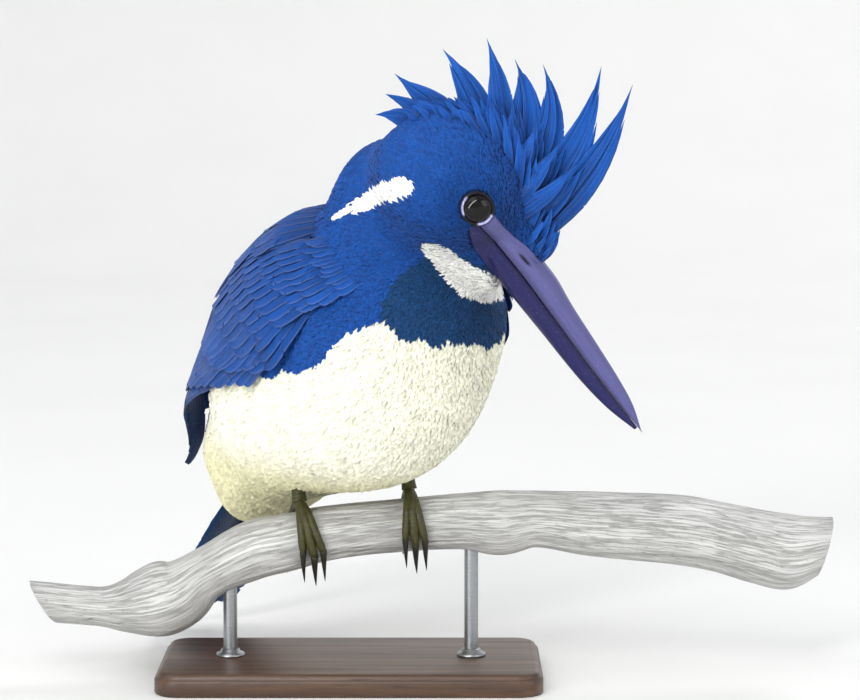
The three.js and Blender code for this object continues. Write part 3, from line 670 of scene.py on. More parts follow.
def fused_forms():
    """The bird's ellipsoids remeshed as one closed mesh of quads."""
    bm = bmesh.new()
    forms = [(BODY, form) for form in TORSO_FORMS] + [(HEAD, form) for form in HEAD_FORMS]
    for part, (centre, half) in forms + [(NECK, NECK_FORM), (WORLD, NAPE_FORM)]:
        axes = Matrix((part[1].T * half * MM).tolist()).to_4x4()
        axes.translation = Vector(out_of(part, centre) * MM)
        bmesh.ops.create_icosphere(bm, subdivisions=4, radius=1.0, matrix=axes)
    rough = bpy.data.meshes.new("forms")
    bm.to_mesh(rough)
    bm.free()
    holder = bpy.data.objects.new("forms", rough)
    bpy.context.scene.collection.objects.link(holder)
    remesh = holder.modifiers.new("voxels", "REMESH")
    remesh.mode = "VOXEL"
    remesh.voxel_size = SKIN_VOXEL * MM
    graph = bpy.context.evaluated_depsgraph_get()
    mesh = bpy.data.meshes.new_from_object(holder.evaluated_get(graph))
    bpy.data.objects.remove(holder)
    return mesh


def build_skin():
    """The skin, under the coat's depth. Returns the coat's surface and its quads, for the feathers' roots."""
    mesh = fused_forms()
    points = read_array(mesh.vertices, "co", 3, np.float32).astype(float) / MM
    quads = read_array(mesh.loops, "vertex_index", 1, np.int32).reshape(-1, 4)
    outer, normals = settle(bird, points, rounds=6)
    inner = outer - normals * profile(COAT_DEPTH, behind_head(outer))[:, None]
    skin = make_piece("skin", inner, quads.ravel(), np.full(len(quads), 4), skin_material(), "breast_plumage",
                      ("torso", "neck", "head"))
    paint_points(skin, markings(outer))
    add_skin_uv(skin, unwrap(outer))
    return outer, quads


def add_skin_uv(skin, at_points):
    """The unwrap, with faces across its seam kept whole in the margin."""
    add_uv(skin, "OFBake", at_points)
    layer = skin.data.uv_layers["OFBake"]
    uv = read_array(layer.data, "uv", 2, np.float32).reshape(-1, 4, 2)
    turn = uv[..., 0]
    split = np.ptp(turn, axis=1, keepdims=True) > 0.5
    uv[..., 0] = np.where(split, np.minimum(turn + BAKE_ROOM * (turn < 0.5), 1.0), turn)
    layer.data.foreach_set("uv", uv.ravel())


# ---------------------------------------------------------------- where small feathers are rooted
EYE = {"forward": 4.4, "up": 2.9, "radius": 4.9, "proud": 1.9, "lens": (4.2, 2.6)}
SIDES = {"left": 1, "right": -1}


def eye_centre(side):
    start = out_of(HEAD, (EYE["forward"], 0, EYE["up"]))
    way = side * HEAD[1][1]
    return start + way * (reach(bird, start, way[None])[0] + EYE["proud"] - EYE["radius"])


EYES = {name: eye_centre(side) for name, side in SIDES.items()}
EYE_RING = 5.3  # bare skin round each eye, out to here

BILL_BASE, BILL_TIP, LOWER_TIP = 6, 86, 84
BILL = {
    "culmen": [(6, 6.4), (28, 6.7), (35, 6.6), (44, 5.2), (60, 3.5), (70, 2.3), (78, 0.8), (86, -2.2)],
    "commissure": [(6, 0.4), (28, 0.1), (44, -0.8), (60, -1.7), (86, -2.3)],
    "gonys": [(6, -6), (24, -6.9), (44, -6.9), (62, -6.8), (74, -5.7), (84, -3.4)],
    "half": [(6, 12.4), (13, 11.6), (20, 10), (30, 7.9), (46, 5.4), (66, 3.1), (80, 1.4), (86, 0.5)],
}
# where the horn lies bare on the face, beside the eye: its upper and lower edges and its ends
BARE_TOP = [(8, 5.6), (14, 5.0), (18, 5.1), (22, 5.9), (26, 6.5), (31, 7.2)]
BARE_BOTTOM = [(8, -2.6), (10, -4.0), (13, -5.6), (17, -5.9), (21, -7.2), (26, -8.0)]
BARE_START, BARE_END = 9, 30
BARE_INNER = 4  # no nearer the head's middle plane than this


def in_bill(points, grow=0.0):
    h = into(HEAD, points)
    x, up = h[:, 0], h[:, 2]
    mouth = profile(BILL["commissure"], x)
    tall = np.where(up > mouth, profile(BILL["culmen"], x) - mouth, mouth - profile(BILL["gonys"], x)) + grow
    wide = profile(BILL["half"], x) + grow
    inside = (x > BILL_BASE - grow) & ((h[:, 1] / wide) ** 2 + np.abs((up - mouth) / tall) ** 2.4 < 1)
    bare = (x > BARE_START - grow) & (x < BARE_END) & (np.abs(h[:, 1]) > BARE_INNER)
    return inside | (bare & (up < profile(BARE_TOP, x) + grow) & (up > profile(BARE_BOTTOM, x) - grow))


def eye_gap(points):
    return np.min([np.linalg.norm(points - c, axis=1) for c in EYES.values()], axis=0)


CLEARANCE = 1.0  # from one small feather's root to the next, in half widths
SLENDER = 4.3  # a small feather's length in half widths
SEEN = 0.7  # the share of its length at which a feather shows, clear of those over it
ROOTS_TRIED = 700000
BILL_MIDDLE = (12, 0, -1)
HALF_BY_FACE = [(9, 0.4), (18, 0.52), (30, 0.68), (48, 0.86), (75, 0.98), (110, 1.04)]
HALF_BY_EYE = [(5, 0.32), (9, 0.44), (14, 0.7)]
HALF_AT_VENT = [(95, 1.0), (130, 0.85)]  # a share, by the distance behind the head's centre
UNDER_WING = 0.7  # how much larger they are under the wings


def feather_size(points):
    """The half width of a small feather: least on the face, most on the belly."""
    face = np.linalg.norm(into(HEAD, points) - BILL_MIDDLE, axis=1)
    half = profile(HALF_BY_FACE, face)
    gap = eye_gap(points)
    half = np.where(gap < HALF_BY_EYE[-1][0], np.minimum(half, profile(HALF_BY_EYE, gap)), half)
    return half * profile(HALF_AT_VENT, behind_head(points)) * (1 + UNDER_WING * under_wing(points))


def under_wing(points):
    """1 where the wings' feathers lie over the body, falling to 0 at their edges."""
    q = into(BODY, points)
    turn = round_body(q)
    inside = np.minimum(step_up(20, 32, turn), step_up(88, 76, turn))
    return inside * np.minimum(step_up(36, 26, q[:, 0]), step_up(-44, -34, q[:, 0]))


def scatter(outer, quads, count):
    """Points spread over the skin's surface, each clear of the others by its own feather's size."""
    a, b, c, d = (outer[quads[:, i]] for i in range(4))
    area = np.linalg.norm(np.cross(c - a, d - b), axis=1)
    weight = area / feather_size((a + c) / 2) ** 2
    pick = rng.choice(len(quads), count, p=weight / weight.sum())
    s, t = rng.random((2, count, 1))
    points = (a[pick] * (1 - s) + b[pick] * s) * (1 - t) + (d[pick] * (1 - s) + c[pick] * s) * t
    size = feather_size(points)
    tree = kdtree.KDTree(count)
    for i, point in enumerate(points):
        tree.insert(point, i)
    tree.balance()
    free = np.ones(count, bool)
    kept = []
    for i in range(count):
        if free[i]:
            kept.append(i)
            for _, j, _ in tree.find_range(points[i], CLEARANCE * size[i]):
                free[j] = False
    return points[kept]


# ---------------------------------------------------------------- small feathers
COAT_WIDTHS = [(0, 0.55), (0.35, 0.92), (0.7, 1.0), (1, 0.62)]
COAT_COLUMNS = 5
FACE_COAT = {"rows": 3, "rise": 0.24, "sink": 0.5}  # stations, the tips' height and the roots' depth
BODY_COAT = {"rows": 4, "rise": 0.34, "sink": 0.8}
RAGGED = 0.12  # how far a tip's teeth stand out, as a share of its length


def build_coat(name, roots, half, colours, slot, rows, rise, sink):
    """Small feathers as closed vanes that bend over the body, each tip over the roots beyond it."""
    count, columns = len(roots), COAT_COLUMNS
    points, normals = settle(bird, roots)
    way = along_surface(lie(points), normals)
    way = unit(way + np.cross(normals, way) * rng.normal(0, 0.13, (count, 1)))
    length = SLENDER * half * rng.uniform(0.88, 1.12, count)
    half = half * rng.uniform(0.88, 1.12, count)
    rise = rise * rng.uniform(0.7, 1.3, count)
    lean = half * rng.normal(0, 0.12, count)
    across = np.linspace(-1, 1, columns)
    shares = np.linspace(0, 1, rows)
    rings = []
    for k, (share, width) in enumerate(zip(shares, profile(COAT_WIDTHS, shares))):
        if k:
            points = points + way * (length * (share - shares[k - 1]))[:, None]
            points, normals = settle(bird, points, rounds=1)
            way = along_surface(unit(way + 0.35 * lie(points)), normals)
        side = np.cross(normals, way)
        height = rise * share**1.3 - sink * (1 - share) ** 1.2
        bowed = half * 0.16 * (1 - share * 0.4)
        lift = height[:, None] + bowed[:, None] * (1 - across**2) + lean[:, None] * across * share
        ahead = np.zeros((count, columns))
        if k == rows - 1:
            tooth = np.arange(columns) % 2 - 0.5 + rng.uniform(-0.5, 0.5, (count, columns))
            ahead = RAGGED * length[:, None] * tooth - 0.34 * half[:, None] * across**2
            ahead[:, [0, -1]] -= 0.1 * length[:, None]
        rings.append(points[:, None] + side[:, None] * (half * width)[:, None, None] * across[None, :, None]
                     + normals[:, None] * lift[..., None] + way[:, None] * ahead[..., None])
    tip, before = (rows - 1) * columns, (rows - 2) * columns
    faces = grid_faces(rows, columns)
    for start in range(0, before, columns):
        beyond = start + columns
        faces.append([start, beyond - 1, beyond + columns - 1, beyond])
    faces.append([before, tip - 1, *range(tip + columns - 1, tip - 1, -1)])
    faces.append(list(range(columns)))
    size = rows * columns
    rims = np.tile(rim_bits(rows, columns, columns - 1), count)
    piece = make_piece(name, np.stack(rings, 1).reshape(-1, 3), *tile(faces, size, count), BODY_FEATHER, slot,
                       rims=rims)
    paint_points(piece, np.repeat(colours, size, 0), np.repeat(rng.normal(0, 0.5, count), size))
    own = np.tile(grid_map(np.linspace(0, 1, columns), shares), (count, 1))
    add_uv(piece, "Vane", own)
    add_uv(piece, "OFBake", np.repeat(unwrap(roots), size, 0) + BAKE_PATCH * (own - 0.5))


def build_plumage(outer, quads):
    roots = scatter(outer, quads, ROOTS_TRIED)
    roots = roots[~in_bill(roots, 0.2)]
    size = feather_size(roots)
    run = along_surface(lie(roots), slope(bird, roots)) * (size * SLENDER)[:, None]
    tips = roots + run
    clear = (eye_gap(roots) > EYE_RING + 0.2) & (eye_gap(tips) > EYE_RING - 0.3) & ~in_bill(tips)
    clear &= eye_gap((roots + tips) / 2) > EYE_RING - 0.3
    roots, size, run = roots[clear], size[clear], run[clear]
    tone = markings(settle(bird, roots + run * SEEN, rounds=1)[0])
    behind = behind_head(roots)
    q = into(BODY, roots)
    face, rest = behind < 10, behind >= 36
    below, left, hind = q[:, 2] <= 0, q[:, 1] >= 0, q[:, 0] < 0
    face_left = into(HEAD, roots)[:, 1] >= 0
    bands = {
        "face": (face, face_left),
        "neck": (~face & ~rest, face_left),
        "breast": (rest & below & ~hind, left),
        "belly": (rest & below & hind, left),
        "back": (rest & ~below, left),
    }
    for name, (band, to_left) in bands.items():
        slot = "head_plumage" if name in ("face", "neck") else "breast_plumage"
        coat = FACE_COAT if name == "face" else BODY_COAT
        for side, mask in (("right", band & ~to_left), ("left", band & to_left)):
            build_coat(f"coat_{name}_{side}", roots[mask], size[mask], tone[mask], slot, **coat)


# ---------------------------------------------------------------- large feathers
TOP_SHARES = np.array([-1, -0.82, -0.56, -0.3, -0.08, 0, 0.08, 0.3, 0.56, 0.82, 1])
UNDER_SHARES = np.array([0.6, 0, -0.6])
RING_SHARES = np.concatenate([TOP_SHARES, UNDER_SHARES])
RING = len(RING_SHARES)
UNDER = np.arange(RING) >= len(TOP_SHARES)
SHAFT = np.abs(RING_SHARES) + UNDER < 0.01
VANE_SHAPES = {
    "pointed": [(0, 0.55), (0.12, 0.86), (0.35, 1), (0.6, 0.97), (0.8, 0.76), (0.92, 0.46), (1, 0.06)],
    "round": [(0, 0.5), (0.12, 0.82), (0.4, 1), (0.72, 1), (0.88, 0.86), (0.96, 0.6), (1, 0.26)],
    "covert": [(0, 0.5), (0.2, 0.85), (0.5, 1), (0.78, 0.97), (0.92, 0.74), (1, 0.28)],
    "lance": [(0, 0.7), (0.2, 1), (0.5, 0.9), (0.78, 0.6), (0.92, 0.3), (1, 0.03)],
}
BARB_SLANT = 0.55
NOTCH = 0.011


def vane_rows(count, rows, notches):
    """Each feather's stations along its shaft, with three close together at each split of its barbs, and
    the side that is split there."""
    base = np.tile(np.linspace(0, 1, rows), (count, 1))
    splits = rng.uniform(0.3, 0.92, (count, notches))
    sides = np.where(rng.random((count, notches)) < 0.5, -1.0, 1.0)
    whole = np.zeros_like(sides)
    shares = np.concatenate([base, splits - NOTCH, splits, splits + NOTCH], 1)
    split_side = np.concatenate([np.zeros_like(base), whole, sides, whole], 1)
    order = np.argsort(shares, 1)
    return np.take_along_axis(shares, order, 1), np.take_along_axis(split_side, order, 1)


def vane_section(half, shape, stations, thickness, camber, shaft):
    """Across, ahead and up in mm for each point of each ring of closed vanes. Thickness and the shaft's
    height are in mm, and camber is a share of the half width."""
    shares, split_side = (values[..., None] for values in stations)
    half = half[:, None, None]
    jitter = 1 + 0.02 * rng.normal(size=shares.shape) * (np.abs(RING_SHARES) > 0.7)
    split = np.where(split_side * RING_SHARES > 0.5, 0.72, 1.0)
    across = profile(VANE_SHAPES[shape], shares) * half * RING_SHARES * jitter * split
    ahead = BARB_SLANT * half * np.abs(RING_SHARES) * (1 - shares**3) * np.minimum(shares * 4, 1)
    up = camber * half * (1 - RING_SHARES**2) + shaft * (1 - shares) * SHAFT
    return across, ahead, up - thickness * UNDER * (1 - 0.6 * shares)


def build_vanes(name, parts, material, slot, replaced=()):
    """One piece from groups of closed vanes: (points of count x rows x RING, colours of the same)."""
    found = []
    start = 0
    for points, colours in parts:
        count, rows = points.shape[:2]
        size = rows * RING
        loops, totals = tile(closed_faces(rows, RING), size, count)
        rims = np.tile(rim_bits(rows, RING, len(TOP_SHARES) - 1), count)
        own = np.tile(grid_map((RING_SHARES + 1) / 2, np.linspace(0, 1, rows)), (count, 1))
        vary = np.repeat(rng.normal(0, 0.45, count), size)
        found.append((points.reshape(-1, 3), loops + start, totals, rims, colours.reshape(-1, 3), vary, own))
        start += count * size
    points, loops, totals, rims, colours, vary, own = (np.concatenate(arrays) for arrays in zip(*found))
    piece = make_piece(name, points, loops, totals, material, slot, replaced, rims)
    paint_points(piece, colours, vary)
    add_uv(piece, "Vane", own)
    add_uv(piece, "OFBake", atlas(own, [points.shape for points, _ in parts]))


# ---------------------------------------------------------------- wings
# Places are (along, round): mm along the body's axis and degrees round it from the back. Each tier has the
# number and shape of its feathers and, from the one nearest the belly on, their half widths, heights over
# the body at half their length, how much further their tips lift, their curve, roots, tips, and colours at
# root and tip.
PLAIN, DARK_ENDED = (BLUE, BLUE), (BLUE, DEEP_BLUE)
PRIMARY_TIPS = [(-57, 59), (-63, 56), (-69, 53), (-76, 49), (-81, 45), (-84, 41), (-84, 37), (-80, 34)]
FLIGHT_TIERS = [
    (8, "pointed", (3.5, 3.0), (1.2, 3.2), 2.2, -4, [(0, 93), (-18, 66)], PRIMARY_TIPS, (BLUE, NAVY)),
    (11, "round", (3.9, 4.6), (1.8, 3.0), 0.4, -2, [(26, 104), (20, 95), (10, 80), (0, 62)],
     [(1, 101), (-12, 87), (-29, 71), (-50, 49)], (DEEP_BLUE, BLUE)),
    (10, "round", (4.6, 5.0), (2.7, 3.3), 0.5, 0, [(10, 86), (-2, 52)], [(-34, 62), (-59, 32)], PLAIN),
    (4, "round", (5.8, 5.6), (3.3, 3.7), 0.7, 2, [(0, 48), (10, 26)], [(-62, 30), (-46, 13)], PLAIN),
]
COVERT_TIERS = [
    (6, "covert", (3.6, 3.6), (2.4, 3.2), 0.4, 1, [(34, 104), (22, 88)], [(9, 101), (-9, 81)], PLAIN),
    (3, "covert", (3.0, 2.6), (3.0, 3.8), 0.3, 2, [(40, 103), (38, 98)], [(16, 106), (18, 99)], DARK_ENDED),
    (10, "covert", (4.6, 4.6), (2.8, 3.4), 0.3, 2, [(22, 90), (8, 42)], [(-9, 81), (-28, 38)], PLAIN),
    (10, "covert", (4.2, 4.2), (3.1, 3.8), 0.4, 1, [(32, 94), (20, 46)], [(6, 90), (-8, 42)], PLAIN),
    (11, "covert", (3.5, 3.5), (3.2, 4.0), 0.3, 1, [(40, 98), (29, 50)], [(20, 94), (6, 47)], PLAIN),
    (11, "covert", (3.1, 3.1), (3.0, 3.8), 0.3, 1, [(46, 101), (37, 56)], [(30, 97), (18, 52)], PLAIN),
    (11, "covert", (2.7, 2.7), (2.6, 3.4), 0.2, 1, [(50, 104), (44, 62)], [(38, 100), (28, 58)], PLAIN),
    (10, "covert", (2.3, 2.3), (2.8, 3.8), 0.2, 1, [(53, 106), (50, 70)], [(44, 104), (37, 66)], PLAIN),
    (13, "covert", (1.9, 1.9), (2.0, 2.8), 0.2, 1, [(57, 107), (55, 72)], [(49, 105), (46, 68)], PLAIN),
    (15, "covert", (1.6, 1.6), (1.3, 1.7), 0.1, 1, [(60, 108), (59, 70)], [(53, 107), (51, 67)], PLAIN),
    # shoulder feathers, over the wing's upper edge
    (6, "covert", (6.0, 5.0), (3.9, 3.3), 0.3, 2, [(2, 34), (-8, 14)], [(-32, 34), (-38, 10)], PLAIN),
    (7, "covert", (5.6, 4.6), (4.2, 3.4), 0.3, 2, [(22, 40), (8, 12)], [(-10, 42), (-18, 9)], PLAIN),
    (7, "covert", (5.0, 4.2), (4.3, 3.3), 0.6, 2, [(36, 46), (24, 12)], [(9, 48), (0, 9)], PLAIN),
    (7, "covert", (4.4, 3.8), (3.9, 2.9), 0.5, 1, [(46, 56), (36, 14)], [(25, 55), (16, 11)], PLAIN),
]
FLIGHT_ROWS, COVERT_ROWS = (22, 3), (12, 1)  # stations along each feather, and splits of its barbs
WING_SECTION = (0.3, 0.1, 0.22)  # thickness, camber and shaft
TIP_SCATTER = (0.8, 0.5)  # mm along the body and degrees round it
INNER_WEB_AND_SHADE = 0.55  # how far a vane's hidden edge is darkened: partly its darker inner web, partly painted shade under the next feather
VANE_ROOT = 0.6  # a root's height over the body
VANE_TILT = 1.5  # how far an edge nearer the belly is raised over its neighbour's


def over_body(along, turn, side, height):
    start = out_of(BODY, np.stack([along, 0 * along, 0 * along], -1))
    way = np.stack([0 * turn, side * np.sin(np.radians(turn)), np.cos(np.radians(turn))], -1) @ BODY[1]
    return start + way * (reach(guide, start, way) + height)[..., None]


def spread_along(places, share):
    stops = np.linspace(0, 1, len(places))
    return np.column_stack([np.interp(share, stops, values) for values in zip(*places)])


def tier_vanes(tier, side, rows, notches):
    count, shape, halves, rises, lift, curve, roots, tips, (root_tone, tip_tone) = tier
    share = np.linspace(0, 1, count)
    root, tip = spread_along(roots, share), spread_along(tips, share)
    for values, scattered in zip(tip.T, TIP_SCATTER):
        values += rng.normal(0, scattered, count)
    half, rise = (np.interp(share, [0, 1], pair) for pair in (halves, rises))
    middle = (root + tip) / 2
    centre = over_body(middle[:, 0], middle[:, 1], side, rise)
    axis = out_of(BODY, np.column_stack([middle[:, 0], 0 * share, 0 * share]))
    girth = np.radians(1) * np.linalg.norm(centre - axis, axis=1)
    way = unit((tip - root) * np.column_stack([np.ones(count), girth]))
    stations = vane_rows(count, rows, notches)
    across, ahead, up = vane_section(half, shape, stations, *WING_SECTION)
    s = stations[0][..., None]
    wx, wy, g, rise = (values[:, None, None] for values in (way[:, 0], way[:, 1], girth, rise))
    root_along, root_turn, tip_along, tip_turn = (ends[:, None, None] for ends in (*root.T, *tip.T))
    bow = curve * np.sin(math.pi * s) * 0.5
    along = root_along * (1 - s) + tip_along * s + across * wy + ahead * wx
    turn = root_turn * (1 - s) + tip_turn * s + (-across * wx + ahead * wy + bow) / g
    tilt = VANE_TILT / 2 * RING_SHARES * np.minimum(s * 3, 1)
    height = VANE_ROOT + (rise - VANE_ROOT) * np.minimum(s * 2.2, 1) + lift * s**3
    height = height + up + tilt + rng.normal(0, 0.12, (count, 1, 1)) * s
    points = over_body(along, turn, side, height)
    s = s[..., None]
    tone = root_tone * (1 - s**2) + tip_tone * s**2
    # the covered edge turns towards navy: partly the inner web's own colour, partly painted shade where the
    # next vane lies over it
    inner = INNER_WEB_AND_SHADE * step_up(-0.1, -0.9, RING_SHARES)[:, None]
    tone = tone * (1 - inner) + NAVY * 0.6 * inner
    return points, tone * (1 - 0.25 * step_up(0.9, 1.0, s))


def build_wing(name, side):
    groups = [tier_vanes(tier, side, *FLIGHT_ROWS) for tier in FLIGHT_TIERS]
    groups += [tier_vanes(tier, side, *COVERT_ROWS) for tier in COVERT_TIERS]
    build_vanes(f"{name}_vanes", groups, FLIGHT_FEATHER, "wing_feathers", (name,))


# ---------------------------------------------------------------- tail
TAIL = {"pitch": 44, "root": -56, "up": -1, "pairs": 6, "length": 79, "half": 5.4, "root_spread": 8.5,
        "tip_spread": 10, "rounding": 5, "stack": 4.6, "sag": 3, "sunk": 12, "middle": 0.35}
TAIL_FRAME = part_frame(out_of(BODY, (TAIL["root"], 0, TAIL["up"])), BODY_YAW, TAIL["pitch"])
TAIL_SECTION = (0.35, 0.07, 0.3)


def build_tail():
    order = (np.arange(TAIL["pairs"]) + TAIL["middle"]) / (TAIL["pairs"] - 1 + TAIL["middle"])
    place = np.concatenate([order, -order])[:, None, None]
    count = len(place)
    outward = np.abs(place)
    stations = vane_rows(count, 30, 5)
    across, ahead, up = vane_section(np.full(count, TAIL["half"]), "round", stations, *TAIL_SECTION)
    s = stations[0][..., None]
    length = TAIL["length"] - TAIL["rounding"] * outward**2 + rng.normal(0, 0.6, (count, 1, 1))
    x = TAIL["sunk"] - (TAIL["sunk"] + length) * s - ahead
    y = place * (TAIL["root_spread"] * (1 - s) + TAIL["tip_spread"] * s) + np.sign(place) * across
    z = -TAIL["stack"] * outward - TAIL["sag"] * s**2 + up - 0.3 * RING_SHARES
    points = out_of(TAIL_FRAME, np.stack([x, y, z], -1))
    inner = 0.35 * step_up(0.1, -0.9, RING_SHARES)[:, None]
    edge = 0.25 * step_up(0.7, 1.0, RING_SHARES)[:, None]
    tone = NAVY * (1 - inner) + NAVY * 0.4 * inner
    tone = np.broadcast_to(tone * (1 - edge) + BLUE * edge, points.shape).copy()
    right = slice(TAIL["pairs"], None)  # mirrored, so their rings run the other way round
    for values in (points, tone):
        values[right] = values[right, :, ::-1].copy()
    build_vanes("tail_feathers", [(points, tone)], FLIGHT_FEATHER, "tail_feathers", ("tail",))


# ---------------------------------------------------------------- crest
CREST_SUNK = 3
TUFT_SUNK = 1.5
CREST_FAN = 1.5  # how much further to its side a lock's tip stands than its root's row
# Each spike from the nape to the brow, in the head's middle plane: its tip, and the middle of its base
# between the gaps beside it, both forward and up of the head's centre, half its width and its root's turn
CREST = np.array([
    (-35.5, -5.0, -29.5, 0.8, 2.0, 174),
    (-38.2, 1.2, -30.5, 5.0, 2.0, 164),
    (-41.2, 7.0, -30.4, 9.4, 2.8, 146),
    (-37.7, 22.5, -20.2, 20.4, 4.0, 122),
    (-32.2, 34.5, -16.4, 26.9, 3.3, 104),
    (-22.1, 37.0, -8.2, 30.0, 5.2, 85),
    (-16.0, 42.5, 0.5, 31.6, 5.0, 63),
    (-4.9, 55.3, 8.8, 33.5, 4.6, 43),
    (5.0, 59.0, 16.7, 33.3, 4.1, 27),
])
# Each row's place to the left, first lock, number of locks, and how far they pass the gaps, 0 for full spikes
MIDDLE_ROWS = [(0, 0, 9, 0), (1.8, 0.5, 8, 1.03), (-1.8, 0.75, 8, 1.0)]
SIDE_ROWS = [(3.8, 0.25, 8, 1.03), (-4.0, 0.5, 8, 1.0), (7.6, 2.3, 6, 0.9), (-7.8, 2.5, 6, 0.85)]
FILL_HALF = 3.2  # half a shorter lock's width
TUFTS = 230  # lone feathers that stand between the locks
TUFT_SPREAD = [(0, 5), (0.4, 11), (0.8, 10), (1, 7), (1.14, 5)]
TUFT_LENGTHS = [(0, 4), (0.3, 6.5), (0.5, 10), (0.9, 12), (1.14, 6)]
CREST_STATIONS = (10, 1)  # along each feather, and splits of its barbs
CREST_SECTION = (0.16, 0.12, 0.12)
LOCK_FEATHERS = (6, 2.2)  # in each lock: at least, and more for each mm of its half width


def crest_values(share):
    return [np.interp(share * (len(CREST) - 1), range(len(CREST)), column) for column in CREST.T]


def crest_root(start, turn, left, sunk):
    """Where feathers leave the head at a turn from its front, and their way there."""
    angle = np.radians(turn)
    way = unit(np.stack([np.cos(angle), left, np.sin(angle)], -1)) @ HEAD[1]
    return start + way * (reach(bird, start, way) - sunk)[:, None], way


def crest_lock(share, left):
    """One lock's curve as a root, a bend and a tip, the share of it below the gaps, and its half width."""
    tip_forward, tip_up, base_forward, base_up, half, turn = crest_values(share)
    start = out_of(HEAD, [(0, left * 0.4, 0)])
    root = crest_root(start, np.array([turn]), np.array([left / 26]), CREST_SUNK)[0][0]
    tip = out_of(HEAD, (tip_forward, left * CREST_FAN, tip_up))
    base = out_of(HEAD, (base_forward, left, base_up))
    low, high = np.linalg.norm(base - root), np.linalg.norm(tip - base)
    part = low / (low + high)
    bend = (base - (1 - part) ** 2 * root - part**2 * tip) / (2 * part * (1 - part))
    return root, bend, tip, part, half


def along_spines(spine, across_way, half, stations):
    """Closed vanes along given lines, each with its own way across, their colour darkened towards the root as
    painted shade.
    """
    ahead_way = unit(np.gradient(spine, axis=1))
    across_way = along_surface(np.broadcast_to(across_way, spine.shape), ahead_way)
    ways = (across_way, ahead_way, np.cross(ahead_way, across_way))
    points = spine[:, :, None]
    for way, length in zip(ways, vane_section(half, "lance", stations, *CREST_SECTION)):
        points = points + way[:, :, None] * length[..., None]
    # random tone for each feather, times painted shade that darkens it towards its root for depth
    tone = BLUE * rng.uniform(0.86, 1.14, (len(half), 1, 1, 1)) * (0.93 + 0.38 * stations[0][..., None, None])
    return points, np.broadcast_to(tone, points.shape)


def lock_vanes(share, left, past):
    """The feathers of one lock, side by side and a few deep, drawn together to its tip."""
    root, bend, tip, part, half = crest_lock(share, left)
    end, taper = (min(part * past, 1.0), 0.0) if past else (1.0, 0.6 * part)
    half = min(half, FILL_HALF) if past else half
    count = round(LOCK_FEATHERS[0] + LOCK_FEATHERS[1] * half)
    off = np.linspace(-1, 1, count) + rng.normal(0, 0.1, count)
    depth = rng.uniform(-1, 1, count)[:, None, None]
    stations = vane_rows(count, *CREST_STATIONS)
    stop = 1 - 0.3 * np.abs(off) ** 1.2 * rng.uniform(0.5, 1.0, count)
    stop[count // 2] = 1.0
    s = (stations[0] * stop[:, None] * end)[..., None]
    spine = (1 - s) ** 2 * root + 2 * s * (1 - s) * bend + s**2 * tip
    along = unit((1 - s) * (bend - root) + s * (tip - bend))
    face = along_surface(np.broadcast_to(HEAD[1][1], spine.shape), along)
    width = np.cross(along, face)
    narrow = 1 - np.clip((s - taper) / (end - taper), 0, 1) ** 1.2
    narrow = narrow * (0.7 + 0.3 * np.minimum(2 * s / end, 1))
    spine = spine + width * off[:, None, None] * half * narrow
    spine = spine + face * (depth * 1.3 * (1 - s / end) + rng.normal(0, 0.4, (count, 1, 1)) * s)
    twist = np.radians(rng.normal(0, 24, count))[:, None, None]
    across = width * np.cos(twist) + face * np.sin(twist)
    return along_spines(spine, across, rng.uniform(0.9, 1.35, count), stations)


def crest_vanes(rows):
    shares = [(left, min((first + i) / (len(CREST) - 1), 1.0), past) for left, first, count, past in rows
              for i in range(count)]
    return [lock_vanes(share, left, past) for left, share, past in shares]


def crest_tufts():
    """Shorter lone feathers between the locks and down the brow, so that the crest grows out of the crown."""
    share = rng.uniform(0.05, 1.14, TUFTS)
    beyond = np.maximum(share - 1, 0)
    left = rng.uniform(-1, 1, TUFTS) * profile(TUFT_SPREAD, share)
    tip_forward, tip_up, _, _, _, turn = crest_values(share)
    middle = np.broadcast_to(HEAD[0], (TUFTS, 3))
    root, way = crest_root(middle, turn - 150 * beyond, left / 20, TUFT_SUNK)
    aim = unit(out_of(HEAD, np.column_stack([tip_forward, left * CREST_FAN, tip_up])) - root)
    aim = unit(aim + way * 5 * beyond[:, None])
    length = rng.uniform(0.8, 1.15, TUFTS) * profile(TUFT_LENGTHS, share)
    stations = vane_rows(TUFTS, *CREST_STATIONS)
    s = stations[0][..., None]
    run = aim[:, None] * s + lie(root)[:, None] * 0.3 * s**2
    spine = root[:, None] + run * length[:, None, None]
    twist = rng.normal(0, 0.5, (TUFTS, 1))
    across = unit(np.cross(aim, HEAD[1][1]) * np.cos(twist) + HEAD[1][1] * np.sin(twist))[:, None]
    return along_spines(spine, across, rng.uniform(0.9, 1.4, TUFTS), stations)


def build_crest():
    middle, sides = crest_vanes(MIDDLE_ROWS), crest_vanes(SIDE_ROWS)
    build_vanes("crest_middle", middle, CREST_FEATHER, "head_plumage")
    build_vanes("crest_sides", sides, CREST_FEATHER, "head_plumage")
    build_vanes("crest_tufts", [crest_tufts()], CREST_FEATHER, "head_plumage")


# ---------------------------------------------------------------- lofted horn, skin and wood
def outward(points, loops, totals):
    """The same faces, turned to look out of the solid that they close."""
    starts = np.concatenate([[0], np.cumsum(totals)[:-1]])
    first = np.repeat(points[loops[starts]], totals, 0)
    here, after = points[loops], points[loops[np.minimum(np.arange(len(loops)) + 1, len(loops) - 1)]]
    last = np.zeros(len(loops), bool)
    last[starts + totals - 1] = True
    volume = np.where(last, 0, np.einsum("ij,ij->i", first, np.cross(here, after))).sum()
    return (loops[::-1], totals[::-1]) if volume < 0 else (loops, totals)


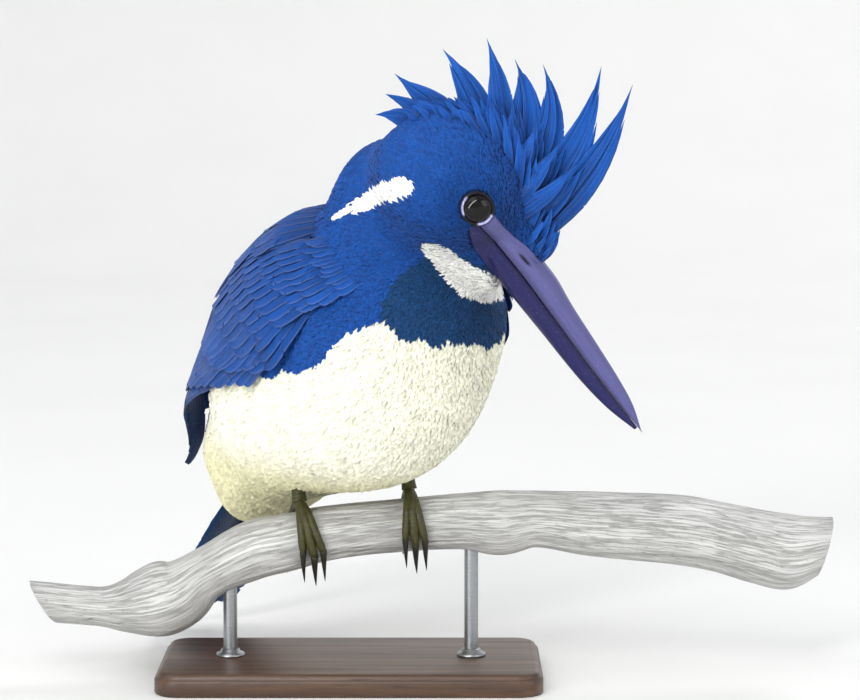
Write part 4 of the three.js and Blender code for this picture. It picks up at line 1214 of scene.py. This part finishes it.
def loft(name, rings, faces, material, slot, replaced=(), colours=None, scutes=1.0):
    """A skin over rings of points, with its own map round and along it."""
    rows, columns = rings.shape[:2]
    points = rings.reshape(-1, 3)
    piece = make_piece(name, points, *outward(points, *tile(faces, len(points))), material, slot, replaced)
    add_uv(piece, "Vane", grid_map(np.arange(columns) / columns, np.linspace(0, scutes, rows)))
    if colours is not None:
        paint_points(piece, colours.reshape(-1, 3))


def closed_loft(name, rings, *looks, **more):
    loft(name, rings, closed_faces(*rings.shape[:2]), *looks, **more)


def turns(count):
    return np.arange(count) / count * 2 * math.pi


def tube_rings(path, radii, columns, across_hint=(1.0, 0.0, 0.0), swell=1.0):
    """Rings round a path. swell gives each point's share of the radius, by turn from the ring's underside."""
    along = unit(np.gradient(path, axis=0))
    across = along_surface(np.broadcast_to(np.array(across_hint, float), path.shape), along)
    up = np.cross(along, across)
    turn = turns(columns)
    out = np.asarray(radii)[:, None] * (np.ones((len(path), columns)) * swell)
    side = across[:, None] * (out * np.sin(turn))[..., None]
    return path[:, None] + side - up[:, None] * (out * np.cos(turn))[..., None]


# ---------------------------------------------------------------- bill
LOWER_WIDTH = 0.94
MOUTH_GAP = 0.3
BILL_STATIONS, ARCH_POINTS, MOUTH_POINTS = 150, 45, 8
NOSTRIL = {"forward": 25, "up": 3.6, "half_length": 2.2, "half_height": 0.42, "depth": 1.0, "lean": 0.06}
HORN = {"bill_upper": horn_material("bill_upper_horn", linear(60, 58, 100)),
        "bill_lower": horn_material("bill_lower_horn", linear(30, 30, 58))}


def lay_on_face(x, y, z):
    """Widens the bill's base until it lies bare on the sides of the face, up to the eye."""
    here = step_up(BARE_START - 2.5, BARE_START, x) * step_up(BARE_END, BARE_END - 10, x)
    here = here * step_up(0.7, -0.1, z - profile(BARE_TOP, x))
    here = here * step_up(-0.7, 0.1, z - profile(BARE_BOTTOM, x))
    for _ in range(6):
        field = bird(out_of(HEAD, np.stack([x, y, z], -1)))
        y = y + np.sign(y) * np.clip(0.25 - field, 0, 4) * here * (np.abs(y) > 3)
    return y


def nostril_slit(x, z):
    off_x = (x - NOSTRIL["forward"]) / NOSTRIL["half_length"]
    off_z = (z - NOSTRIL["up"] - NOSTRIL["lean"] * (x - NOSTRIL["forward"])) / NOSTRIL["half_height"]
    return np.exp(-(off_x**2 + off_z**2) ** 1.5)


def build_mandible(name, ridge, tip, side, colour):
    upper = side > 0
    x = np.linspace(BILL_BASE, tip, BILL_STATIONS)[:, None]
    mouth = profile(BILL["commissure"], x) + side * MOUTH_GAP / 2
    height = np.maximum(side * (smooth_profile(ridge, x) - mouth), 0.15)
    width = smooth_profile(BILL["half"], x) * (1 if upper else LOWER_WIDTH)
    t = np.linspace(0, math.pi, ARCH_POINTS)[None]
    from_lip = np.minimum(t, math.pi - t)
    y = width * np.cos(t)
    z = mouth + side * height * np.sin(t) ** (0.8 if upper else 0.85)
    groove = np.exp(-(((from_lip - 0.95) / 0.16) ** 2)) * step_up(12, 20, x) * step_up(62, 36, x)
    slit = nostril_slit(x, z) * upper
    dent = 0.35 * groove * upper + NOSTRIL["depth"] * slit
    shrink = 1 - dent / np.maximum(np.hypot(y, z - mouth), 0.5)
    y, z = y * shrink, mouth + (z - mouth) * shrink
    y = lay_on_face(x + 0 * y, y, z)
    inner = np.linspace(-1, 1, MOUTH_POINTS + 2)[None, 1:-1]
    bowed = mouth + side * 0.25 * (1 - inner**2) * np.minimum(height, 1)
    y = np.concatenate([y, width * inner], 1)
    z = np.concatenate([z, bowed], 1)
    rings = out_of(HEAD, np.stack(np.broadcast_arrays(x, y, z), -1))
    lip = step_up(0.22, 0.02, from_lip)
    crown = step_up(1.1, 1.5, from_lip) * step_up(10, 26, x)
    # painted shade on the horn: the mouth's inner faces at a quarter, the nostril slit and the edge by the
    # mouth darkened
    shade = np.full(y.shape, 0.25)
    shade[:, :ARCH_POINTS] = (1 - 0.9 * np.clip(slit * 1.6, 0, 1)) * (1 - 0.45 * lip)
    # painted light on the upper mandible's top, lighter, and painted shade on the lower mandible's underside,
    # darker
    shade[:, :ARCH_POINTS] *= 1 + 0.16 * crown * (1 if upper else -0.6)
    closed_loft(f"{name}_horn", rings, HORN[name], name, (name,), colour * shade[..., None])


# ---------------------------------------------------------------- eyes
EYELIDS = {"radius": 4.45, "half": 0.55, "stretch": (1.05, 0.98), "out": 2.6, "bead": 0.1, "beads": 44}
GAZE = (0.22, 0.1)  # how far an eye looks forward and up, for each 1 to its side
CRESCENTS = [(-5, 40), (-140, 42)]  # the pale rim: degrees round the eye from its front, half spread
LID_COLOUR = linear(14, 14, 20)
LID_SKIN = lid_material()


def build_eye(name, side):
    centre = EYES[name]
    gaze = unit(np.array([GAZE[0], side, GAZE[1]])) @ HEAD[1]
    bm = bmesh.new()
    bmesh.ops.create_icosphere(bm, subdivisions=5, radius=1.0)
    round_ball = np.array([v.co for v in bm.verts])
    loops = np.array([[v.index for v in f.verts] for f in bm.faces]).ravel()
    bm.free()
    wide, deep = EYE["lens"]
    depth = (round_ball @ gaze)[:, None] * gaze
    points = centre + gaze * (EYE["radius"] - deep) + wide * (round_ball - depth) + deep * depth
    totals = np.full(len(loops) // 3, 3)
    wet = eye_material(centre, gaze)
    make_piece(f"eye_ball_{name}", points, loops, totals, wet, "eye", (f"eye_{name}",))
    build_eyelids(name, side, centre + gaze * EYELIDS["out"], gaze)


def build_eyelids(name, side, middle, gaze):
    """A beaded ring of bare skin round the eye, pale along its inner edge in two crescents."""
    forward = along_surface(HEAD[1][0], gaze)
    up = np.cross(forward, gaze) * side
    turn = turns(264)[:, None, None]
    lid = turns(16)[None, :, None]
    cos, sin = np.cos(lid), np.sin(lid)
    beads = EYELIDS["bead"] * np.abs(np.sin(turn * EYELIDS["beads"] / 2))
    wide = EYELIDS["radius"] + EYELIDS["half"] * cos * (1 + beads * (cos > 0))
    rings = middle + gaze * EYELIDS["half"] * sin * (1 + beads)
    long, tall = EYELIDS["stretch"]
    rings = rings + wide * (forward * np.cos(turn) * long + up * np.sin(turn) * tall)
    pale = np.zeros_like(turn)
    for at, half in CRESCENTS:
        gap = np.abs((np.degrees(turn) - at + 180) % 360 - 180)
        pale = np.maximum(pale, step_up(half, half * 0.7, gap))
    pale = pale * step_up(0.55, 0.1, cos) * step_up(-0.5, -0.1, sin)
    points = rings.reshape(-1, 3)
    faces = grid_faces(len(turn), lid.shape[1], closed_round=True, closed_along=True)
    loops, totals = outward(points, *tile(faces, len(points)))
    ring = make_piece(f"eyelids_{name}", points, loops, totals, LID_SKIN, "head_plumage")
    paint_points(ring, (LID_COLOUR * (1 - pale) + LAVENDER * pale).reshape(-1, 3))


# ---------------------------------------------------------------- branch
PERCH_LINE = [
    (-97, 24.3, 6.9), (-79, 22.8, 6.4), (-72, 22.8, 8.3), (-65, 23.9, 10.9), (-59, 25.4, 12),
    (-53, 27.7, 10.9), (-46, 33, 8.7), (-31, 40.6, 9.7), (-20, 43.2, 9.4), (-9, 45.8, 9),
    (9, 48, 8.5), (34, 49.8, 9.2), (47, 49.5, 10.6), (58, 50.6, 9.3), (74, 49.3, 10.4),
    (104, 47, 11.2), (116, 44.9, 11.2), (129, 41.7, 11.9), (138, 40.2, 12.2), (149, 42, 9.6),
]  # x, height of the middle, half thickness
PERCH_CUT = [(-97, -0.66), (-83, 0), (136, 0), (149, 0.36)]  # the ends' slant: x, mm along for each mm up
KNOTS = [(-58, 200, 9), (70, 60, 7), (118, 250, 8), (-20, 320, 5), (44, 290, 5)]  # x, degrees round, size
PERCH_STATIONS, PERCH_COLUMNS = 260, 120
HOLLOW = linear(112, 104, 92)
CUT_WOOD = cut_wood_material()


def perch_axis(x):
    return smooth_profile([(a, z) for a, z, _ in PERCH_LINE], x)


def perch_half(x):
    return smooth_profile([(a, r) for a, _, r in PERCH_LINE], x)


def on_perch(x, turn, out):
    """A place on the branch: degrees from its top towards the bird's front, and how far out of its bark."""
    r, angle = perch_half(x) + out, np.radians(turn)
    return np.stack([x + 0 * r, -r * np.sin(angle), perch_axis(x) + r * np.cos(angle)], -1)


def bell(values, width):
    return np.exp(-((values / width) ** 2))


def build_perch():
    x = np.linspace(PERCH_LINE[0][0], PERCH_LINE[-1][0], PERCH_STATIONS)[:, None]
    turn = turns(PERCH_COLUMNS)[None]
    slant = np.arctan(perch_axis(x + 0.5) - perch_axis(x - 0.5))
    half = perch_half(x) + 0 * turn
    swirl = turn + 0.25 * np.sin(x / 31)
    around = np.stack([x / 26 + 0 * turn, 2.2 * np.cos(swirl), 2.2 * np.sin(swirl)], -1)
    ridges = (1 - ripple(around * (1, 3.1, 3.1), 1.0, 2.0)) / 2
    fine = (1 - ripple(around * (3.0, 7.5, 7.5), 1.0, 5.0)) / 2
    crack = bell(ripple(around * (0.6, 4.4, 4.4), 1.0, 8.0), 0.055)
    sink = 0.45 * ridges + 0.22 * fine + 0.55 * crack
    knot_tone = 0 * sink
    for at, degrees, size in KNOTS:
        away = (np.degrees(turn) - degrees + 180) % 360 - 180
        gap = np.hypot(x - at, np.radians(away) * half) / size
        rings = 0.06 * (1 + np.cos(gap * 26))
        sink = sink - 0.5 * bell(gap, 0.75) + 0.7 * bell(gap, 0.22) + rings * bell(gap, 0.7)
        knot_tone = np.maximum(knot_tone, bell(gap, 0.5))
    half = half - np.clip(sink, 0.0, 1.6)
    out = half * np.cos(turn)
    along = x + out * (profile(PERCH_CUT, x) - np.sin(slant))
    points = np.stack([along, half * np.sin(turn), perch_axis(x) + out * np.cos(slant)], -1)
    hollow = np.clip(0.5 * crack + 0.35 * ridges + 0.5 * knot_tone, 0, 1)[..., None]
    colours = BARK * (1 - hollow) + HOLLOW * hollow
    faces = grid_faces(PERCH_STATIONS, PERCH_COLUMNS, closed_round=True)
    loft("branch", points, faces, bark_material(), "perch_wood", ("perch",), colours)
    build_cut("left", points[0], -1)
    build_cut("right", points[-1], 1)


def build_cut(name, ring, way):
    """A sawn end, as rings of points that run in to the pith, a little rough."""
    centre = ring.mean(0)
    shares = np.linspace(1, 0.02, 16)[:, None]
    disc = centre + (ring - centre) * shares[..., None]
    rough = 0.5 * (1 - shares**3) + 0.14 * ripple(disc, 1.6, 3.0) * (shares < 0.97)
    disc[..., 0] += way * rough * 0.6
    rows, columns = disc.shape[:2]
    size = rows * columns
    faces = grid_faces(rows, columns, closed_round=True) + [list(range(size - columns, size))]
    loops, totals = tile(faces, size)
    if way > 0:
        loops, totals = loops[::-1], totals[::-1]
    piece = make_piece(f"branch_cut_{name}", disc.reshape(-1, 3), loops, totals, CUT_WOOD, "perch_wood")
    add_uv(piece, "Vane", grid_map(np.arange(columns) / columns, shares[:, 0]))


# ---------------------------------------------------------------- legs, toes and claws
FEET = {"right": {"x": -16, "slant": 5}, "left": {"x": 18.5, "slant": 2}}
# Each toe's spread along the branch, degrees round it from the top, half thickness and joints
TOES = {
    "inner": (-3.3, 104, 1.6, 3),
    "middle": (0, 118, 1.85, 3),
    "outer": (3.3, 112, 1.65, 4),
    "hind": (1, -96, 1.75, 2),
}
GAP = 0.3
TOE_START, FULL_TURN, TOE_TAPER = 12, 118, 0.78
TOE_ROWS, TOE_COLUMNS, TOE_END = 70, 20, 6
CLAW = {"turn": 20, "drop": 6.4, "rows": 26, "columns": 14}
CLAW_WIDTHS = [(0, 0.7), (0.1, 0.74), (0.5, 0.5), (0.85, 0.22), (1, 0.04)]
CLAW_HORN = horn_material("claw_horn", linear(16, 14, 12))
SHANK = {"radius": 2.3, "top": 74, "back": 2, "inward": 3, "rows": 40, "columns": 24, "scutes": 14}
SHANK_WIDTHS = [(0, 1.12), (0.12, 1.02), (0.5, 0.92), (1, 1.0)]
SCUTE = 0.9  # mm along a toe


def toe_x(place, spread, turn):
    return place["x"] + (place["slant"] + spread) * turn / FULL_TURN


def scaly_swell(rows, columns, scutes, joints):
    """A toe's section along its length: scutes like roof tiles on top, a pad under each joint."""
    v = np.linspace(0, 1, rows)[:, None]
    turn = turns(columns)[None]
    top = step_up(-0.1, 0.5, -np.cos(turn))
    saw = (v * scutes) % 1
    pads = np.abs(np.sin(math.pi * v * joints)) * step_up(0.0, 0.7, np.cos(turn))
    return 1 + 0.07 * top * (saw - 0.5) + 0.1 * (pads - 0.5) - 0.04 * top


def build_foot(name, place):
    for which, (spread, to, radius, joints) in TOES.items():
        way = np.sign(to)
        turn = np.linspace(-way * TOE_START, to, TOE_ROWS)
        path = on_perch(toe_x(place, spread, turn), turn, GAP + radius)
        scutes = round(np.linalg.norm(np.diff(path, axis=0), axis=1).sum() / SCUTE)
        radii = radius * np.linspace(1, TOE_TAPER, TOE_ROWS)
        radii[-TOE_END:] *= np.linspace(1, 0.72, TOE_END)
        swell = scaly_swell(TOE_ROWS, TOE_COLUMNS, scutes, joints)
        rings = tube_rings(path, radii, TOE_COLUMNS, (way, 0, 0), swell)
        replaced = (f"foot_{name}",) if which == "middle" else ()
        closed_loft(f"toe_{name}_{which}", rings, LEG_SCALES, "leg_skin", replaced, scutes=scutes)
        build_claw(f"{name}_{which}", toe_x(place, spread, to), to, radius)
    foot = on_perch(np.array(place["x"], float), 0.0, GAP + SHANK["radius"])
    knee = np.array([place["x"] - SHANK["back"], SHANK["inward"], SHANK["top"]])
    share = np.linspace(0, 1, SHANK["rows"])
    path = foot + (knee - foot) * share[:, None]
    swell = scaly_swell(SHANK["rows"], SHANK["columns"], SHANK["scutes"], 1)
    radii = SHANK["radius"] * profile(SHANK_WIDTHS, share)
    rings = tube_rings(path, radii, SHANK["columns"], (-1, 0, 0), swell)
    closed_loft(f"shank_{name}", rings, LEG_SCALES, "leg_skin", (f"leg_{name}",), scutes=SHANK["scutes"])


def build_claw(name, x, to, radius):
    """A claw that bends out over its toe's end and hangs down to a point."""
    way = np.sign(to)
    rows, columns = CLAW["rows"], CLAW["columns"]
    start = on_perch(x, to - way * 2.0, GAP + radius * 0.85)
    bend = on_perch(x, to + way * CLAW["turn"] * 1.05, GAP + radius * 1.35)
    tip = on_perch(x, to + way * CLAW["turn"], GAP + radius * 1.1) + (0.4, way * 0.6, -CLAW["drop"])
    s = np.linspace(0, 1, rows)[:, None]
    path = start * (1 - s) ** 2 + 2 * bend * s * (1 - s) + tip * s**2
    keel = 1 + 0.12 * np.cos(2 * turns(columns))
    rings = tube_rings(path, radius * profile(CLAW_WIDTHS, s[:, 0]), columns, (1, 0, 0), keel)
    colours = DARK_CLAW * (1 + 1.2 * (1 - s[:, :, None]) ** 3) * np.ones((rows, columns, 1))
    closed_loft(f"talon_{name}", rings, CLAW_HORN, "claw", (f"claw_{name}",), colours)


# ---------------------------------------------------------------- stand
BASE = {"half": (60, 30), "thick": 7, "corner": 8}
# Outlines of the base's edge, inset and height, and of a collar, radius and height
BASE_EDGE = [(0.6, 0), (0, 0.6), (0, 4.6), (0.25, 5.2), (0.9, 5.5), (0.95, 5.9), (1.3, 6.5), (1.9, 6.9),
             (2.7, 7)]
CORNERS = [(1, 1), (-1, 1), (-1, -1), (1, -1)]
ROD = {"radius": 2.2, "x": {"left": -38, "right": 38}, "into_perch": 3, "gap": 0.05}
COLLAR = [(2.3, 0), (4.4, 0), (4.6, 0.25), (4.4, 0.9), (3.2, 1.3), (2.9, 2.2), (2.35, 2.5), (2.25, 2.4),
          (2.25, 0.05)]
STAND_COLUMNS = 40


def build_base():
    rings = []
    for inset, z in BASE_EDGE:
        r = BASE["corner"] - inset
        ring = []
        for k, corner in enumerate(CORNERS):
            middle = np.array(corner) * (np.array(BASE["half"]) - BASE["corner"])
            for t in np.radians(np.linspace(90 * k, 90 * k + 90, 13)):
                ring.append((middle[0] + r * math.cos(t), middle[1] + r * math.sin(t), z))
        rings.append(ring)
    closed_loft("plinth", np.array(rings), base_material(), "base_wood", ("stand_base",))


def build_rod(name, x):
    bottom, top = BASE["thick"] + ROD["gap"], perch_axis(x) - ROD["into_perch"]
    path = np.linspace((x, 0, bottom), (x, 0, top), 30)
    rings = tube_rings(path, np.full(30, ROD["radius"]), STAND_COLUMNS)
    closed_loft(f"rod_{name}", rings, STEEL, "rod_steel", (f"stand_rod_{name}",))
    rings = [[(x + r * math.cos(t), r * math.sin(t), bottom + z) for t in turns(STAND_COLUMNS)]
             for r, z in COLLAR]
    closed_loft(f"collar_{name}", np.array(rings), STEEL, "rod_steel")


# ---------------------------------------------------------------- floor, light and camera
LOOK_AT = Vector((0.025, 0.0, 0.104))
CAMERA = {"distance": 0.9, "elevation": 6, "lens": 120.6, "sensor": 36}
STAGE = (1.5, 1.1, 2.4)  # the flat floor's radius, the sweep's round it and the wall's height, in metres
STAGE_COLUMNS = 96
SKY, SKY_STRENGTH = (0.93, 0.95, 1.0, 1), 0.7
LIGHTS = [  # name, where it stands, its breadth and length, its lean in degrees, its power
    ("strip", (-0.56, -1.3, 0.62), (0.17, 1.9), -40, 20),
    ("top", (-0.9, -1.1, 1.9), (1.5, 1.5), 0, 10),
    ("fill", (1.7, -1.35, 0.85), (1.4, 1.4), 0, 12),
    ("rim", (0.9, 1.7, 1.9), (1.0, 1.0), 0, 16),
]


def add_object(name, data):
    made = bpy.data.objects.new(name, data)
    bpy.context.scene.collection.objects.link(made)
    return made


def build_floor():
    """A flat pale floor that sweeps up into a wall all round."""
    flat, sweep, wall = STAGE
    section = [(0.02, 0.0), (0.3, 0.0), (0.8, 0.0), (flat, 0.0)]
    section += [(flat + sweep * math.sin(t), sweep * (1 - math.cos(t))) for t in np.linspace(0.1, 1.57, 14)]
    section.append((flat + sweep, wall))
    places = [(r * math.cos(t), r * math.sin(t), z) for r, z in section for t in turns(STAGE_COLUMNS)]
    faces = [face[::-1] for face in grid_faces(len(section), STAGE_COLUMNS, closed_round=True)]
    faces.append(list(range(STAGE_COLUMNS)))
    mesh = bpy.data.meshes.new("floor")
    mesh.from_pydata(places, [], faces)
    mesh.shade_smooth()
    mesh.materials.append(floor_material())
    add_object("floor", mesh)


def build_light():
    world = bpy.data.worlds.new("studio")
    world.use_nodes = True
    background = world.node_tree.nodes["Background"]
    background.inputs["Color"].default_value = SKY
    background.inputs["Strength"].default_value = SKY_STRENGTH
    bpy.context.scene.world = world
    for name, place, (breadth, length), lean, power in LIGHTS:
        light = bpy.data.lights.new(name, "AREA")
        light.shape = "RECTANGLE"
        light.size = breadth
        light.size_y = length
        light.energy = power
        lamp = add_object(name, light)
        lamp.location = place
        aim = (LOOK_AT - Vector(place)).to_track_quat("-Z", "Y")
        lamp.rotation_euler = (aim @ Quaternion((0, 0, 1), math.radians(lean))).to_euler()
        lamp.visible_camera = False


def build_camera():
    lens = bpy.data.cameras.new("camera")
    lens.lens = CAMERA["lens"]
    lens.sensor_width = CAMERA["sensor"]
    lens.clip_start = 0.01
    camera = add_object("camera", lens)
    tilt = math.radians(CAMERA["elevation"])
    back = Vector((0, -math.cos(tilt), math.sin(tilt)))
    camera.location = LOOK_AT + back * CAMERA["distance"]
    camera.rotation_euler = (-back).to_track_quat("-Z", "Y").to_euler()
    bpy.context.scene.camera = camera
    bpy.context.scene.view_settings.view_transform = "Standard"


# ---------------------------------------------------------------- the model
build_camera()
build_floor()
build_light()
build_plumage(*build_skin())
build_crest()
for side_name, side_sign in SIDES.items():
    build_wing(f"wing_{side_name}", side_sign)
    build_eye(side_name, side_sign)
    build_foot(side_name, FEET[side_name])
    build_rod(side_name, ROD["x"][side_name])
build_tail()
build_mandible("bill_upper", BILL["culmen"], BILL_TIP, 1, HORN_UPPER)
build_mandible("bill_lower", BILL["gonys"], LOWER_TIP, -1, HORN_LOWER)
build_perch()
build_base()
